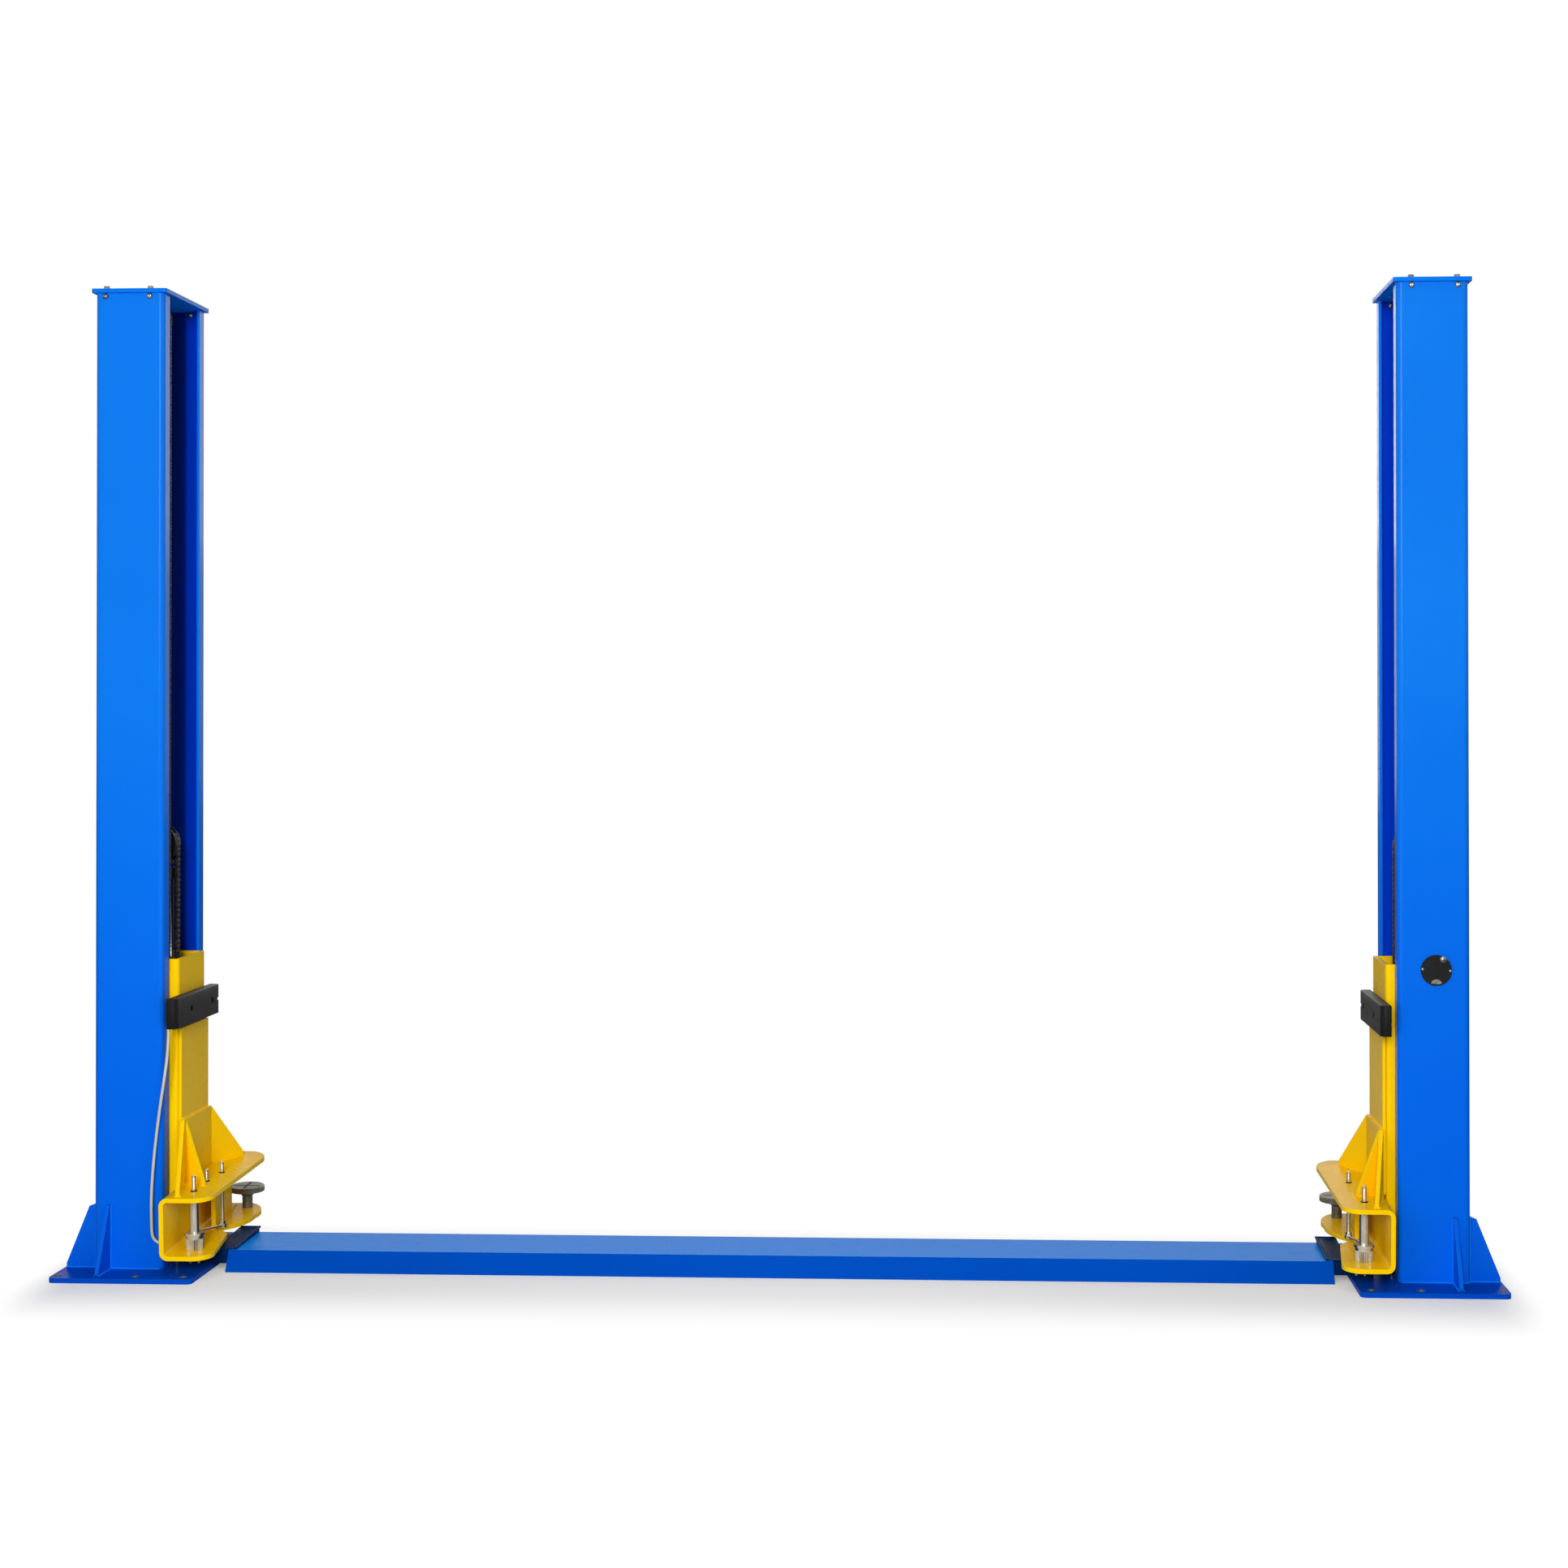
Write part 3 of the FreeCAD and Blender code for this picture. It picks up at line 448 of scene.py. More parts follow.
def addHexHead(shape, centre, axis, across, height, twist=0.0):
    # hexagon with its top corners turned down to a ring
    turn = Matrix.Translation(centre) @ turnTo(axis) @ Matrix.Rotation(twist, 4, "Z")
    radius = across / math.sqrt(3)
    flats = across / 2
    sides = 24
    outer = []
    for i in range(sides):
        angle = 2 * math.pi * i / sides
        reach = flats / math.cos(abs(angle % (math.pi / 3) - math.pi / 6))
        outer.append((min(reach, radius), angle))
    levels = ((0, radius), (height - (radius - flats) * 0.6, radius), (height, flats * 0.94))
    addLoft(shape, [[(min(reach, limit) * math.cos(angle), min(reach, limit) * math.sin(angle),
                      level) for reach, angle in outer] for level, limit in levels], turn)


def addWasher(shape, centre, axis, outer, hole, thick):
    addLathe(shape, centre, axis, [(hole, 0), (outer - thick * 0.3, 0), (outer, thick * 0.3),
                                   (outer, thick * 0.7), (outer - thick * 0.3, thick),
                                   (hole, thick), (hole, 0)], 28)


def addButtonHead(shape, centre, axis, radius, height):
    # domed head with a socket in it
    socket = radius * 0.42
    addLathe(shape, centre, axis, [
        (radius * 0.96, 0), (radius, height * 0.12), (radius * 0.94, height * 0.45),
        (radius * 0.78, height * 0.78), (radius * 0.56, height * 0.97), (socket, height),
        (socket * 0.94, height * 0.45), (0, height * 0.38)], 24)


def addThread(shape, centre, axis, radius, low, high, pitch=0.0017):
    # a stud's end with one groove for each turn of its thread
    profile = [(0, low), (radius * 0.86, low)]
    level = low + 0.0006
    while level < high - pitch:
        profile += [(radius, level + pitch * 0.3), (radius, level + pitch * 0.5),
                    (radius * 0.88, level + pitch)]
        level += pitch
    profile += [(radius * 0.8, high), (0, high)]
    addLathe(shape, centre, axis, profile, 20)


def addTube(shape, points, radius, sides=10, ripple=0.0, pitch=0.01, closed=False):
    # round bar along points; a ripple makes it swell and shrink along its length
    outlines = []
    travelled = 0.0
    up = None
    count = len(points)
    for i, point in enumerate(points):
        before = points[i - 1] if i or closed else point
        after = points[(i + 1) % count] if i < count - 1 or closed else point
        ahead = (after - before).normalized()
        if up is None:
            up = ahead.orthogonal().normalized()
        up = (up - ahead * up.dot(ahead)).normalized()
        across = ahead.cross(up)
        if i:
            travelled += (point - points[i - 1]).length
        size = radius * (1 + ripple * math.sin(travelled / pitch * 2 * math.pi))
        outlines.append([point + (up * x + across * y) * size for x, y, _ in circle(1, sides)])
    addLoft(shape, outlines, closed=closed)


def addWeld(shape, corners, radius=0.0035, closed=False):
    # a laid bead: one swell for each stop of the torch
    pitch = radius * 1.1
    points = []
    for start, end in zip(corners, corners[1:] + corners[:1] if closed else corners[1:]):
        start, end = Vector(start), Vector(end)
        steps = max(2, round((end - start).length / (pitch / 3)))
        points += [start.lerp(end, i / steps) for i in range(steps)]
    if not closed:
        points.append(Vector(corners[-1]))
    addTube(shape, points, radius, 8, 0.13, pitch, closed)


# caps: bolts through the plate and through the post's walls
capBolts = {"inwardPlaces": (-0.145, -0.036), "fromEnd": 0.150, "sideLevel": 2.382,
            "washer": (0.012, 0.004, 0.0014), "head": (0.014, 0.0062),
            "button": (0.0075, 0.005), "nut": (0.012, 0.006), "thread": (0.0038, 0.0, 0.011)}
shape = bmesh.new()
for a in capBolts["inwardPlaces"]:
    for facing in (-1, 1):
        top = place(a, facing * capBolts["fromEnd"], lift["capTop"])
        addWasher(shape, top, (0, 0, 1), *capBolts["washer"])
        top += Vector((0, 0, capBolts["washer"][2]))
        addHexHead(shape, top, (0, 0, 1), *capBolts["head"], a * 9)
        wall = place(a, facing * lift["postHalfDepth"], capBolts["sideLevel"])
        addButtonHead(shape, wall, (0, facing, 0), *capBolts["button"])
        wall.y = facing * (lift["postHalfDepth"] - lift["postWall"])
        addHexHead(shape, wall, (0, -facing, 0), *capBolts["nut"], a * 5)
        addThread(shape, wall, (0, -facing, 0), *capBolts["thread"])
addPair("cap_bolts", shape, "plainSteel", "frame")

# welds on the base: along the foot of the post and both sides of each gusset
postWeld = {"bead": 0.0038, "corner": 0.010, "fromLip": 0.006}
gusset = {"sideInner": 0.147, "sideOuter": 0.137, "sideReach": 0.072, "top": 0.155,
          "endX": 0.033, "endThick": 0.009, "endReach": 0.086, "bead": 0.003, "gap": 0.003}
floorLevel = lift["baseTop"]
half = lift["postHalfDepth"]
outer = lift["outerFace"]
corner = postWeld["corner"]
halfway = [(lift["lip"] - postWeld["fromLip"], half), (outer + corner, half),
           (outer, half - corner)]
shape = bmesh.new()
addWeld(shape, [(x, -y, floorLevel) for x, y in halfway]
        + [(x, y, floorLevel) for x, y in halfway[::-1]], postWeld["bead"])
gap, bead = gusset["gap"], gusset["bead"]
for facing in (-1, 1):
    for y in (gusset["sideInner"] * facing, gusset["sideOuter"] * facing):
        addWeld(shape, [(outer - gusset["sideReach"], y, floorLevel),
                        (outer - gap, y, floorLevel)], bead)
        addWeld(shape, [(outer, y, floorLevel + gap),
                        (outer, y, floorLevel + gusset["top"])], bead)
    for x in (outer + gusset["endX"], outer + gusset["endX"] + gusset["endThick"]):
        addWeld(shape, [(x, facing * (half + gap), floorLevel),
                        (x, facing * (half + gusset["endReach"]), floorLevel)], bead)
        addWeld(shape, [(x, facing * half, floorLevel + gap),
                        (x, facing * half, floorLevel + gusset["top"])], bead)
addPair("base_welds", shape, "bluePaint", "frame")

# bare walls of the drilled anchor holes
anchor = {"inwardPlaces": (-0.230, -0.040, 0.077), "y": 0.240, "radius": 0.0095,
          "wall": 0.0008, "bite": 0.0004, "foot": 0.0005, "proud": 0.0003}
foot, top = anchor["foot"], lift["baseTop"] + anchor["proud"]
outer, inner = anchor["radius"] + anchor["bite"], anchor["radius"] - anchor["wall"]
shape = bmesh.new()
for a in anchor["inwardPlaces"]:
    for y in (-anchor["y"], anchor["y"]):
        addLathe(shape, place(a, y, 0), (0, 0, 1), [
            (outer, foot), (outer, top), (inner, top), (inner, foot), (outer, foot)], 32)
addPair("anchor_hole_walls", shape, "dullSteel", "frame")
print("post fittings made")

# cylinder: gland nut with its wiper, pressure port near the foot and bleed screw at the top
cylinder = {"a": -0.054, "foot": 0.030, "footWeld": 0.0265, "wall": 0.0255, "top": 0.980,
            "nutHeight": 0.030, "portLevel": 0.205, "bleedDrop": 0.062}
shape = bmesh.new()
centre = place(cylinder["a"], 0, cylinder["top"] - cylinder["nutHeight"])
addLathe(shape, centre, (0, 0, 1), [
    (0.0262, 0), (0.0295, 0.0006), (0.0302, 0.002), (0.0302, 0.012), (0.0292, 0.0128),
    (0.0292, 0.0148), (0.0302, 0.0156), (0.0302, 0.026), (0.0288, 0.0285), (0.0210, 0.0290),
    (0.0205, 0.0305), (0.0148, 0.0315), (0.0144, 0.0300), (0.0148, 0.0290)], 40)
for i in range(6):
    angle = math.pi / 3 * i + 0.3
    addLathe(shape, centre + Vector((0.0300 * math.cos(angle), 0.0300 * math.sin(angle), 0.0205)),
             (math.cos(angle), math.sin(angle), 0), [
        (0, -0.002), (0.0024, -0.002), (0.0024, 0.0006), (0, 0.0006)], 12)
foot = place(cylinder["a"], 0, cylinder["foot"])
addWeld(shape, [foot + Vector(spot) for spot in circle(cylinder["footWeld"], 28, 0.001)],
        0.0032, True)
addPair("cylinder_gland", shape, "blackPaint", "frame")
shape = bmesh.new()
port = place(cylinder["a"] + cylinder["wall"], 0, cylinder["portLevel"])
addLathe(shape, port, (1, 0, 0), [(0.012, -0.003), (0.012, 0.006), (0.0112, 0.007), (0, 0.007)])
addHexHead(shape, port + Vector((0.007, 0, 0)), (1, 0, 0), 0.019, 0.007)
addLathe(shape, port + Vector((0.0135, 0, 0)), (1, 0, 0), [
    (0.0075, 0), (0.0075, 0.004), (0.006, 0.006), (0, 0.006)])
bleed = place(cylinder["a"], cylinder["wall"], cylinder["top"] - cylinder["bleedDrop"])
addLathe(shape, bleed, (0, 1, 0), [(0.007, -0.002), (0.007, 0.003), (0.0055, 0.004), (0, 0.004)])
addHexHead(shape, bleed + Vector((0, 0.004, 0)), (0, 1, 0), 0.008, 0.004)
addPair("cylinder_fittings", shape, "plainSteel", "frame")

# ram: bright rod, black fork with two cheeks, and the chain roller between them
ram = {"a": -0.054, "rod": 0.014, "low": 0.190, "forkLow": 0.988, "rollerLevel": 1.036,
       "rollerRadius": 0.0305, "half": 0.013, "plate": 0.006, "forkHalf": 0.026,
       "seat": 0.008, "cheekHalf": 0.0385, "cheekHigh": 0.044, "pin": 0.008}
shape = bmesh.new()
addLathe(shape, place(ram["a"], 0, 0), (0, 0, 1), [
    (0, ram["low"]), (0.0195, ram["low"]), (0.0197, ram["low"] + 0.001),
    (0.0197, ram["low"] + 0.023), (0.0190, ram["low"] + 0.024), (ram["rod"], ram["low"] + 0.0245),
    (ram["rod"], ram["forkLow"] - 0.002), (0.012, ram["forkLow"] + 0.001),
    (0, ram["forkLow"] + 0.001)], 48)
addPair("ram_rod", shape, "polishedRod", "ram", ["ram"])
shape = bmesh.new()
outer = ram["half"] + ram["plate"]
level = ram["rollerLevel"]
seatTop = ram["forkLow"] + ram["seat"]
forkHalf = ram["forkHalf"]
stand = Matrix.Translation(place(ram["a"], 0, 0))
seat = [(-forkHalf, -outer), (forkHalf, -outer), (forkHalf, outer), (-forkHalf, outer)]
addPrism(shape, seat, stand, ram["forkLow"], seatTop, 0.001)
# each cheek is narrow at its foot, widest at the roller and rounded over its top
cheek = [(-forkHalf, ram["forkLow"]), (forkHalf, ram["forkLow"])]
cheek += [(ram["cheekHalf"] * math.cos(a), level + 0.002 + ram["cheekHigh"] * math.sin(a))
          for a in [math.radians(-24 + 228 * i / 24) for i in range(25)]]
upright = stand @ Matrix.Rotation(math.radians(90), 4, "X")
for low in (-outer, ram["half"]):
    addPrism(shape, cheek, upright, low, low + ram["plate"], 0.0008)
addLathe(shape, place(ram["a"], 0, ram["forkLow"] - 0.0035), (0, 0, 1), [
    (0.0142, 0), (0.0205, 0.0004), (0.0205, 0.0036), (0, 0.0036)], 32)
for facing in (-1, 1):
    y = facing * (outer - 0.0062)
    addWeld(shape, [place(ram["a"] - 0.024, y, seatTop), place(ram["a"] + 0.024, y, seatTop)],
            0.0022)
addPair("chain_fork", shape, "blackPaint", "ram", ["ram"])
shape = bmesh.new()
inside = ram["half"] - 0.0012
addLathe(shape, place(ram["a"], 0, level), (0, 1, 0), [
    (0.0083, -inside), (0.012, -inside), (0.0128, -inside + 0.0006),
    (0.0300, -inside + 0.0006), (ram["rollerRadius"], -inside + 0.0014),
    (ram["rollerRadius"], inside - 0.0014), (0.0300, inside - 0.0006),
    (0.0128, inside - 0.0006), (0.012, inside), (0.0083, inside), (0.0083, -inside)], 56)
for facing in (-1, 1):
    tip = place(ram["a"], facing * (outer + 0.0004), level)
    addWasher(shape, tip, (0, facing, 0), 0.0115, 0.0082, 0.0016)
    addLathe(shape, tip, (0, facing, 0), [
        (ram["pin"], -0.004), (ram["pin"], 0.0038), (0.0070, 0.0046), (0, 0.0046)], 28)
for across, up, radius in ((0.017, 0.014, 0.0050), (0.011, 0.036, 0.0032)):
    for facing in (-1, 1):
        spot = place(ram["a"] + across, facing * outer, level + up)
        addHexHead(shape, spot, (0, facing, 0), radius * 2, 0.0035, 0.2)
addPair("chain_roller", shape, "plainSteel", "ram", ["ram"])

# lift chain: a leaf chain, plates and pins along both strands and over the roller
chain = {"pitch": 0.0127, "plateHigh": 0.0100, "plateThick": 0.0019, "pin": 0.0022,
         "low": 0.700, "lacing": (-0.0088, -0.0044, 0.0, 0.0044, 0.0088)}
radius = ram["rollerRadius"] + 0.0005 + chain["plateHigh"] / 2
straight = level - chain["low"]
over = math.pi * radius
total = 2 * straight + over
count = int(total / chain["pitch"])
start = (total - count * chain["pitch"]) / 2
spots = []
for i in range(count + 1):
    at = start + i * chain["pitch"]
    if at < straight:
        a, z = -radius, chain["low"] + at
    elif at < straight + over:
        turn = math.pi - (at - straight) / radius
        a, z = radius * math.cos(turn), level + radius * math.sin(turn)
    else:
        a, z = radius, level - (at - straight - over)
    spots.append(place(ram["a"] + a, 0, z))
side = Vector((0, 1, 0))
waist = chain["plateHigh"] * 0.36
end = chain["plateHigh"] * 0.46
halfThick = chain["plateThick"] / 2
shape = bmesh.new()
for i, (here, there) in enumerate(zip(spots, spots[1:])):
    ahead = (there - here).normalized()
    length = (there - here).length
    outline = []
    for middle, facing in ((0, 1), (length, -1)):
        for j in range(7):
            angle = facing * math.pi / 2 + math.pi * j / 6
            outline.append((middle + end * math.cos(angle), end * math.sin(angle)))
        outline.append((length / 2, -facing * waist))
    turn = Matrix((ahead, ahead.cross(side), side)).transposed().to_4x4()
    turn.translation = here
    for offset in chain["lacing"][i % 2::2]:
        addPrism(shape, outline, turn, offset - halfThick - 0.0001, offset + halfThick - 0.0001)
for here in spots:
    addLathe(shape, here, side, [
        (0, -0.0105), (0.0016, -0.0105), (chain["pin"], -0.0099), (chain["pin"], 0.0099),
        (0.0016, 0.0105), (0, 0.0105)], 10)
addPair("leaf_chain", shape, "oiledChain", "ram", ["lift_chain"])

# latch rod: stands on the base plate inside the hollow carriage and ends beside the chain
latchRod = {"foot": (0.0005, -0.056, 0.0115), "top": (-0.0205, -0.056, 0.963), "radius": 0.0036}
shape = bmesh.new()
points = linePoints(place(*latchRod["foot"]), place(*latchRod["top"]), 60)
addTube(shape, points, latchRod["radius"], 12)
addPair("latch_rod", shape, "polishedRod", "frame")
print("cylinder, ram and chain made")

# equalising rope: six strands laid round each other, over the sheave, with swaged ends
rope = {"a": -0.010, "y": -0.086, "radius": 0.0045, "sheaveLevel": 2.333,
        "sheavePitch": 0.042, "low": 0.030, "lay": 0.055, "step": 0.006}
drop = rope["sheaveLevel"] - rope["low"]
steps = int(drop / rope["step"])
sheaveA = rope["a"] - rope["sheavePitch"]
path = [place(rope["a"], rope["y"], rope["low"] + drop * i / steps) for i in range(steps)]
for x, z, _ in circle(rope["sheavePitch"], 48)[:25]:
    path.append(place(sheaveA + x, rope["y"], rope["sheaveLevel"] + z))
path += [place(rope["a"] - 2 * rope["sheavePitch"], rope["y"],
               rope["sheaveLevel"] - drop * (i + 1) / steps) for i in range(steps)]
outlines = []
travelled = 0.0
for i, point in enumerate(path):
    before = path[max(i - 1, 0)]
    after = path[min(i + 1, len(path) - 1)]
    up = (after - before).normalized().cross(side)
    if i:
        travelled += (point - path[i - 1]).length
    outline = []
    for j in range(18):
        angle = 2 * math.pi * j / 18
        lobe = 0.5 + 0.5 * math.cos(6 * angle)
        reach = rope["radius"] * (0.80 + 0.19 * lobe)
        angle += 2 * math.pi * travelled / rope["lay"]
        outline.append(point + (side * math.cos(angle) + up * math.sin(angle)) * reach)
    outlines.append(outline)
shape = bmesh.new()
addLoft(shape, outlines)
addPair("equalising_rope", shape, "steelRope", "frame", ["equalising_cable"])
shape = bmesh.new()
up = Vector((0, 0, 1))
for a in (rope["a"], rope["a"] - 2 * rope["sheavePitch"]):
    end = place(a, rope["y"], lift["baseTop"])
    addWasher(shape, end, up, 0.0105, 0.004, 0.002)
    addHexHead(shape, end + up * 0.002, up, 0.017, 0.009, 0.2)
    addLathe(shape, end + up * 0.011, up, [
        (0.0066, 0), (0.0070, 0.0005), (0.0070, 0.010), (0.0062, 0.013), (0.0062, 0.016),
        (0.0066, 0.019), (0.0066, 0.028), (0.0050, 0.031), (0.0044, 0.031)], 24)
addPair("rope_ends", shape, "plainSteel", "frame", ["equalising_cable"])

# sheave pin: a retaining ring and the pin's end on each side, and the hanger's welds
hanger = {"half": 0.016, "weldHalf": 0.029, "bead": 0.0028}
shape = bmesh.new()
for facing in (-1, 1):
    tip = place(sheaveA, rope["y"] + facing * hanger["half"], rope["sheaveLevel"])
    addWasher(shape, tip, (0, facing, 0), 0.0135, 0.0095, 0.0016)
    addLathe(shape, tip + Vector((0, facing * 0.003, 0)), (0, facing, 0), [
        (0.0096, 0), (0.0096, 0.0012), (0.0085, 0.0018), (0, 0.0018)], 24)
addPair("sheave_pin_rings", shape, "plainSteel", "frame")
shape = bmesh.new()
for facing in (-1, 1):
    y = rope["y"] + facing * hanger["half"]
    addWeld(shape, [place(sheaveA - hanger["weldHalf"], y, lift["postTop"]),
                    place(sheaveA + hanger["weldHalf"], y, lift["postTop"])], hanger["bead"])
addPair("hanger_welds", shape, "blackPaint", "frame")
print("ropes and sheaves made")


def roundAndCut(shape, cutter, rounding):
    # rounds the shape's edges, then takes the cutter away from it with Blender's own boolean
    pieces = []
    for name, solid in (("body", shape), ("tool", cutter)):
        bmesh.ops.recalc_face_normals(solid, faces=solid.faces)
        mesh = bpy.data.meshes.new(name)
        solid.to_mesh(mesh)
        pieces.append(bpy.data.objects.new(name, mesh))
        scene.collection.objects.link(pieces[-1])
    body, tool = pieces
    bevel = body.modifiers.new("round", "BEVEL")
    bevel.width = rounding
    bevel.segments = 2
    bevel.limit_method = "ANGLE"
    bevel.angle_limit = math.radians(30)
    boolean = body.modifiers.new("cut", "BOOLEAN")
    boolean.object = tool
    boolean.operation = "DIFFERENCE"
    boolean.solver = "EXACT"
    graph = bpy.context.evaluated_depsgraph_get()
    made = bpy.data.meshes.new_from_object(body.evaluated_get(graph))
    shape.clear()
    shape.from_mesh(made)
    # each of the two objects goes with its mesh
    for mesh in (body.data, tool.data, made):
        bpy.data.meshes.remove(mesh)


# door guard: moulded rubber bar with two bolt recesses, a dimple near each end of its face, and a
# slot open to one end
guard = {"thick": 0.026, "middle": -0.028, "length": 0.336, "height": 0.073, "top": 0.672,
         "chamfer": 0.009, "rounding": 0.0012, "holeY": 0.082, "hole": 0.0072,
         "holeDeep": 0.012, "flare": 0.005, "dimpleFromEnd": 0.040, "slotLength": 0.022,
         "slotHalf": 0.004, "slotDeep": 0.004}
face = lift["tubeFace"]
deep = face + guard["thick"]
near = guard["middle"] - guard["length"] / 2
far = guard["middle"] + guard["length"] / 2
slant = guard["chamfer"]
outline = [(face, near), (deep - slant, near), (deep, near + slant), (deep, far - slant),
           (deep - slant, far), (face, far)]
shape = bmesh.new()
addPrism(shape, [(inward(a), y) for a, y in outline], Matrix.Identity(4),
         guard["top"] - guard["height"], guard["top"])
cutter = bmesh.new()
middleLevel = guard["top"] - guard["height"] / 2
hole, holeDeep = guard["hole"], guard["holeDeep"]
wide = hole + guard["flare"]
for y in (-guard["holeY"], guard["holeY"]):
    addLathe(cutter, place(deep - holeDeep, y, middleLevel), (1, 0, 0), [
        (0, 0), (hole, 0), (hole, holeDeep - 0.002), (wide, holeDeep + 0.003), (wide, 0.03),
        (0, 0.03)], 32)
for y in (near + guard["dimpleFromEnd"], far - guard["dimpleFromEnd"]):
    addLathe(cutter, place(deep - 0.005, y, middleLevel - 0.004), (1, 0, 0), [
        (0, 0), (0.0032, 0), (0.0036, 0.02), (0, 0.02)], 20)
slotStart, slotHalf = far - guard["slotLength"], guard["slotHalf"]
groove = [(slotStart, middleLevel - slotHalf), (far + 0.01, middleLevel - slotHalf),
          (far + 0.01, middleLevel + slotHalf), (slotStart, middleLevel + slotHalf)]
alongX = Matrix(((0, 0, 1, 0), (1, 0, 0, 0), (0, 1, 0, 0), (0, 0, 0, 1)))
addPrism(cutter, groove, alongX, inward(deep - guard["slotDeep"]), inward(deep + 0.02))
roundAndCut(shape, cutter, guard["rounding"])
cutter.free()
addPair("guard_bar", shape, "guardRubber", "carriage", ["door_guard"])
shape = bmesh.new()
for y in (-guard["holeY"], guard["holeY"]):
    bottom = place(deep - holeDeep + 0.0001, y, middleLevel)
    addButtonHead(shape, bottom, (1, 0, 0), 0.0058, 0.0042)
addPair("guard_bolts", shape, "dullSteel", "carriage")
print("guards made")

# welds on the carriage: over the face plates, between tube and receiver, along the braces and on
# the receiver's lower flange
carriageWeld = {"linerTop": 0.590, "doublerTop": 0.366, "doublerThick": 0.008, "inset": 0.004,
                "plateBead": 0.0028, "tubeFoot": 0.075, "tubeBead": 0.0034,
                "braceHalf": 0.0055, "braceBead": 0.0030}


def flangeLevel(y):
    # the receiver's top face at y
    tilt = math.radians(receiver["tilt"])
    return (receiver["bottom"] + (receiver["top"] - receiver["bottom"]) / math.cos(tilt)
            + (y - receiver["front"]) * math.tan(tilt))


shape = bmesh.new()
face = inward(lift["tubeFace"])
tubeHalf = lift["tubeHalf"]
for x, z in ((face, carriageWeld["linerTop"]),
             (face + carriageWeld["doublerThick"], carriageWeld["doublerTop"])):
    end = tubeHalf - carriageWeld["inset"]
    addWeld(shape, [(x, -end, z), (x, end, z)], carriageWeld["plateBead"])
for y in (-tubeHalf, tubeHalf):
    addWeld(shape, [(face - 0.001, y, carriageWeld["tubeFoot"]),
                    (face - 0.001, y, flangeLevel(y) - 0.012)], carriageWeld["tubeBead"])
braces = [((0.032, -0.108), (0.062, -0.238)), ((0.032, 0.108), (0.088, 0.197)),
          ((0.032, -0.092), (0.092, -0.128))]
for root, tip in braces:
    run = Vector((tip[0] - root[0], tip[1] - root[1], 0)).normalized()
    across = Vector((-run.y, run.x, 0)) * carriageWeld["braceHalf"]
    for side in (-1, 1):
        ends = []
        for (a, y), shift in ((root, run * 0.006), (tip, -run * 0.002)):
            spot = place(a, y, 0) + across * side + shift
            spot.z = flangeLevel(spot.y) + 0.0005
            ends.append(spot)
        addWeld(shape, ends, carriageWeld["braceBead"])
lowTop = receiver["bottom"] + receiver["plate"]
addWeld(shape, [onReceiver(0.060, 0.243, lowTop), onReceiver(0.060, 0.192, lowTop)], 0.0024)
addWeld(shape, [onReceiver(0.0772, 0.040, lowTop), onReceiver(0.0644, 0.188, lowTop)], 0.0028)
for a, y in ((0.0600, 0.191), (0.0745, 0.0015)):
    addLathe(shape, onReceiver(a, y, lowTop), receiverUp, [
        (0.008, -0.002), (0.0078, 0.002), (0.006, 0.0045), (0.003, 0.006), (0, 0.0062)], 16)
addPair("carriage_welds", shape, "yellowPaint", "carriage")

# release cable: a free loop from the gland on the tube to the one on the receiver
releaseCable = {"diameter": 0.007, "length": 0.621, "points": [
    (0.008, -0.110, 0.642), (0.008, -0.130, 0.642), (0.0095, -0.1485, 0.631),
    (0.0125, -0.1595, 0.612), (0.0155, -0.165, 0.576), (0.013, -0.171, 0.514),
    (0.000, -0.1765, 0.420), (-0.0125, -0.176, 0.325), (-0.020, -0.1785, 0.236),
    (-0.0215, -0.1805, 0.170), (-0.0202, -0.181, 0.125), (-0.0191, -0.1809, 0.0981),
    (-0.0121, -0.1805, 0.086), (0.000, -0.180, 0.079), (0.014, -0.180, 0.079)]}
cordCurve = bpy.data.curves.new("release_cable_cord", "CURVE")
cordCurve.dimensions = "3D"
line = cordCurve.splines.new("NURBS")
line.points.add(len(releaseCable["points"]) - 1)
for point, (a, y, z) in zip(line.points, releaseCable["points"]):
    point.co = (inward(a), y, z, 1)
line.order_u = 3
line.use_endpoint_u = True
line.resolution_u = 12
cordCurve.bevel_depth = releaseCable["diameter"] / 2
cordCurve.bevel_resolution = 5
cordCurve.use_fill_caps = True
cordCurve.materials.append(finishes["cableSheath"])
cord = bpy.data.objects.new("release_cable_cord", cordCurve)
scene.collection.objects.link(cord)
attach(cord, "left_carriage")
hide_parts("release_cable")

# studs on the receiver: threads, dark seals where they leave the flange, and round tips
studs = {"pin": (0.083, -0.170, 0.0050, 0.038), "rod": (0.093, 0.018, 0.0045, 0.027)}
threads = bmesh.new()
seals = bmesh.new()
for a, y, radius, length in studs.values():
    foot = onReceiver(a, y, receiver["top"])
    addThread(threads, foot, receiverUp, radius + 0.0004, 0.006, length - 0.004)
    addLathe(threads, foot + receiverUp * (length - 0.004), receiverUp, [
        (radius * 0.95, 0), (radius, 0.001), (radius * 0.9, 0.0035), (radius * 0.5, 0.005),
        (0, 0.0053)], 20)
    addLathe(seals, foot, receiverUp, [
        (radius + 0.0006, 0), (radius * 1.7, 0), (radius * 1.75, 0.0005), (radius * 1.6, 0.0013),
        (radius * 1.3, 0.0019), (radius + 0.0006, 0.0021), (radius + 0.0006, 0)], 28)
addPair("stud_threads", threads, "turnedSteel", "restraint")
addPair("stud_seals", seals, "guardRubber", "carriage")
shape = bmesh.new()
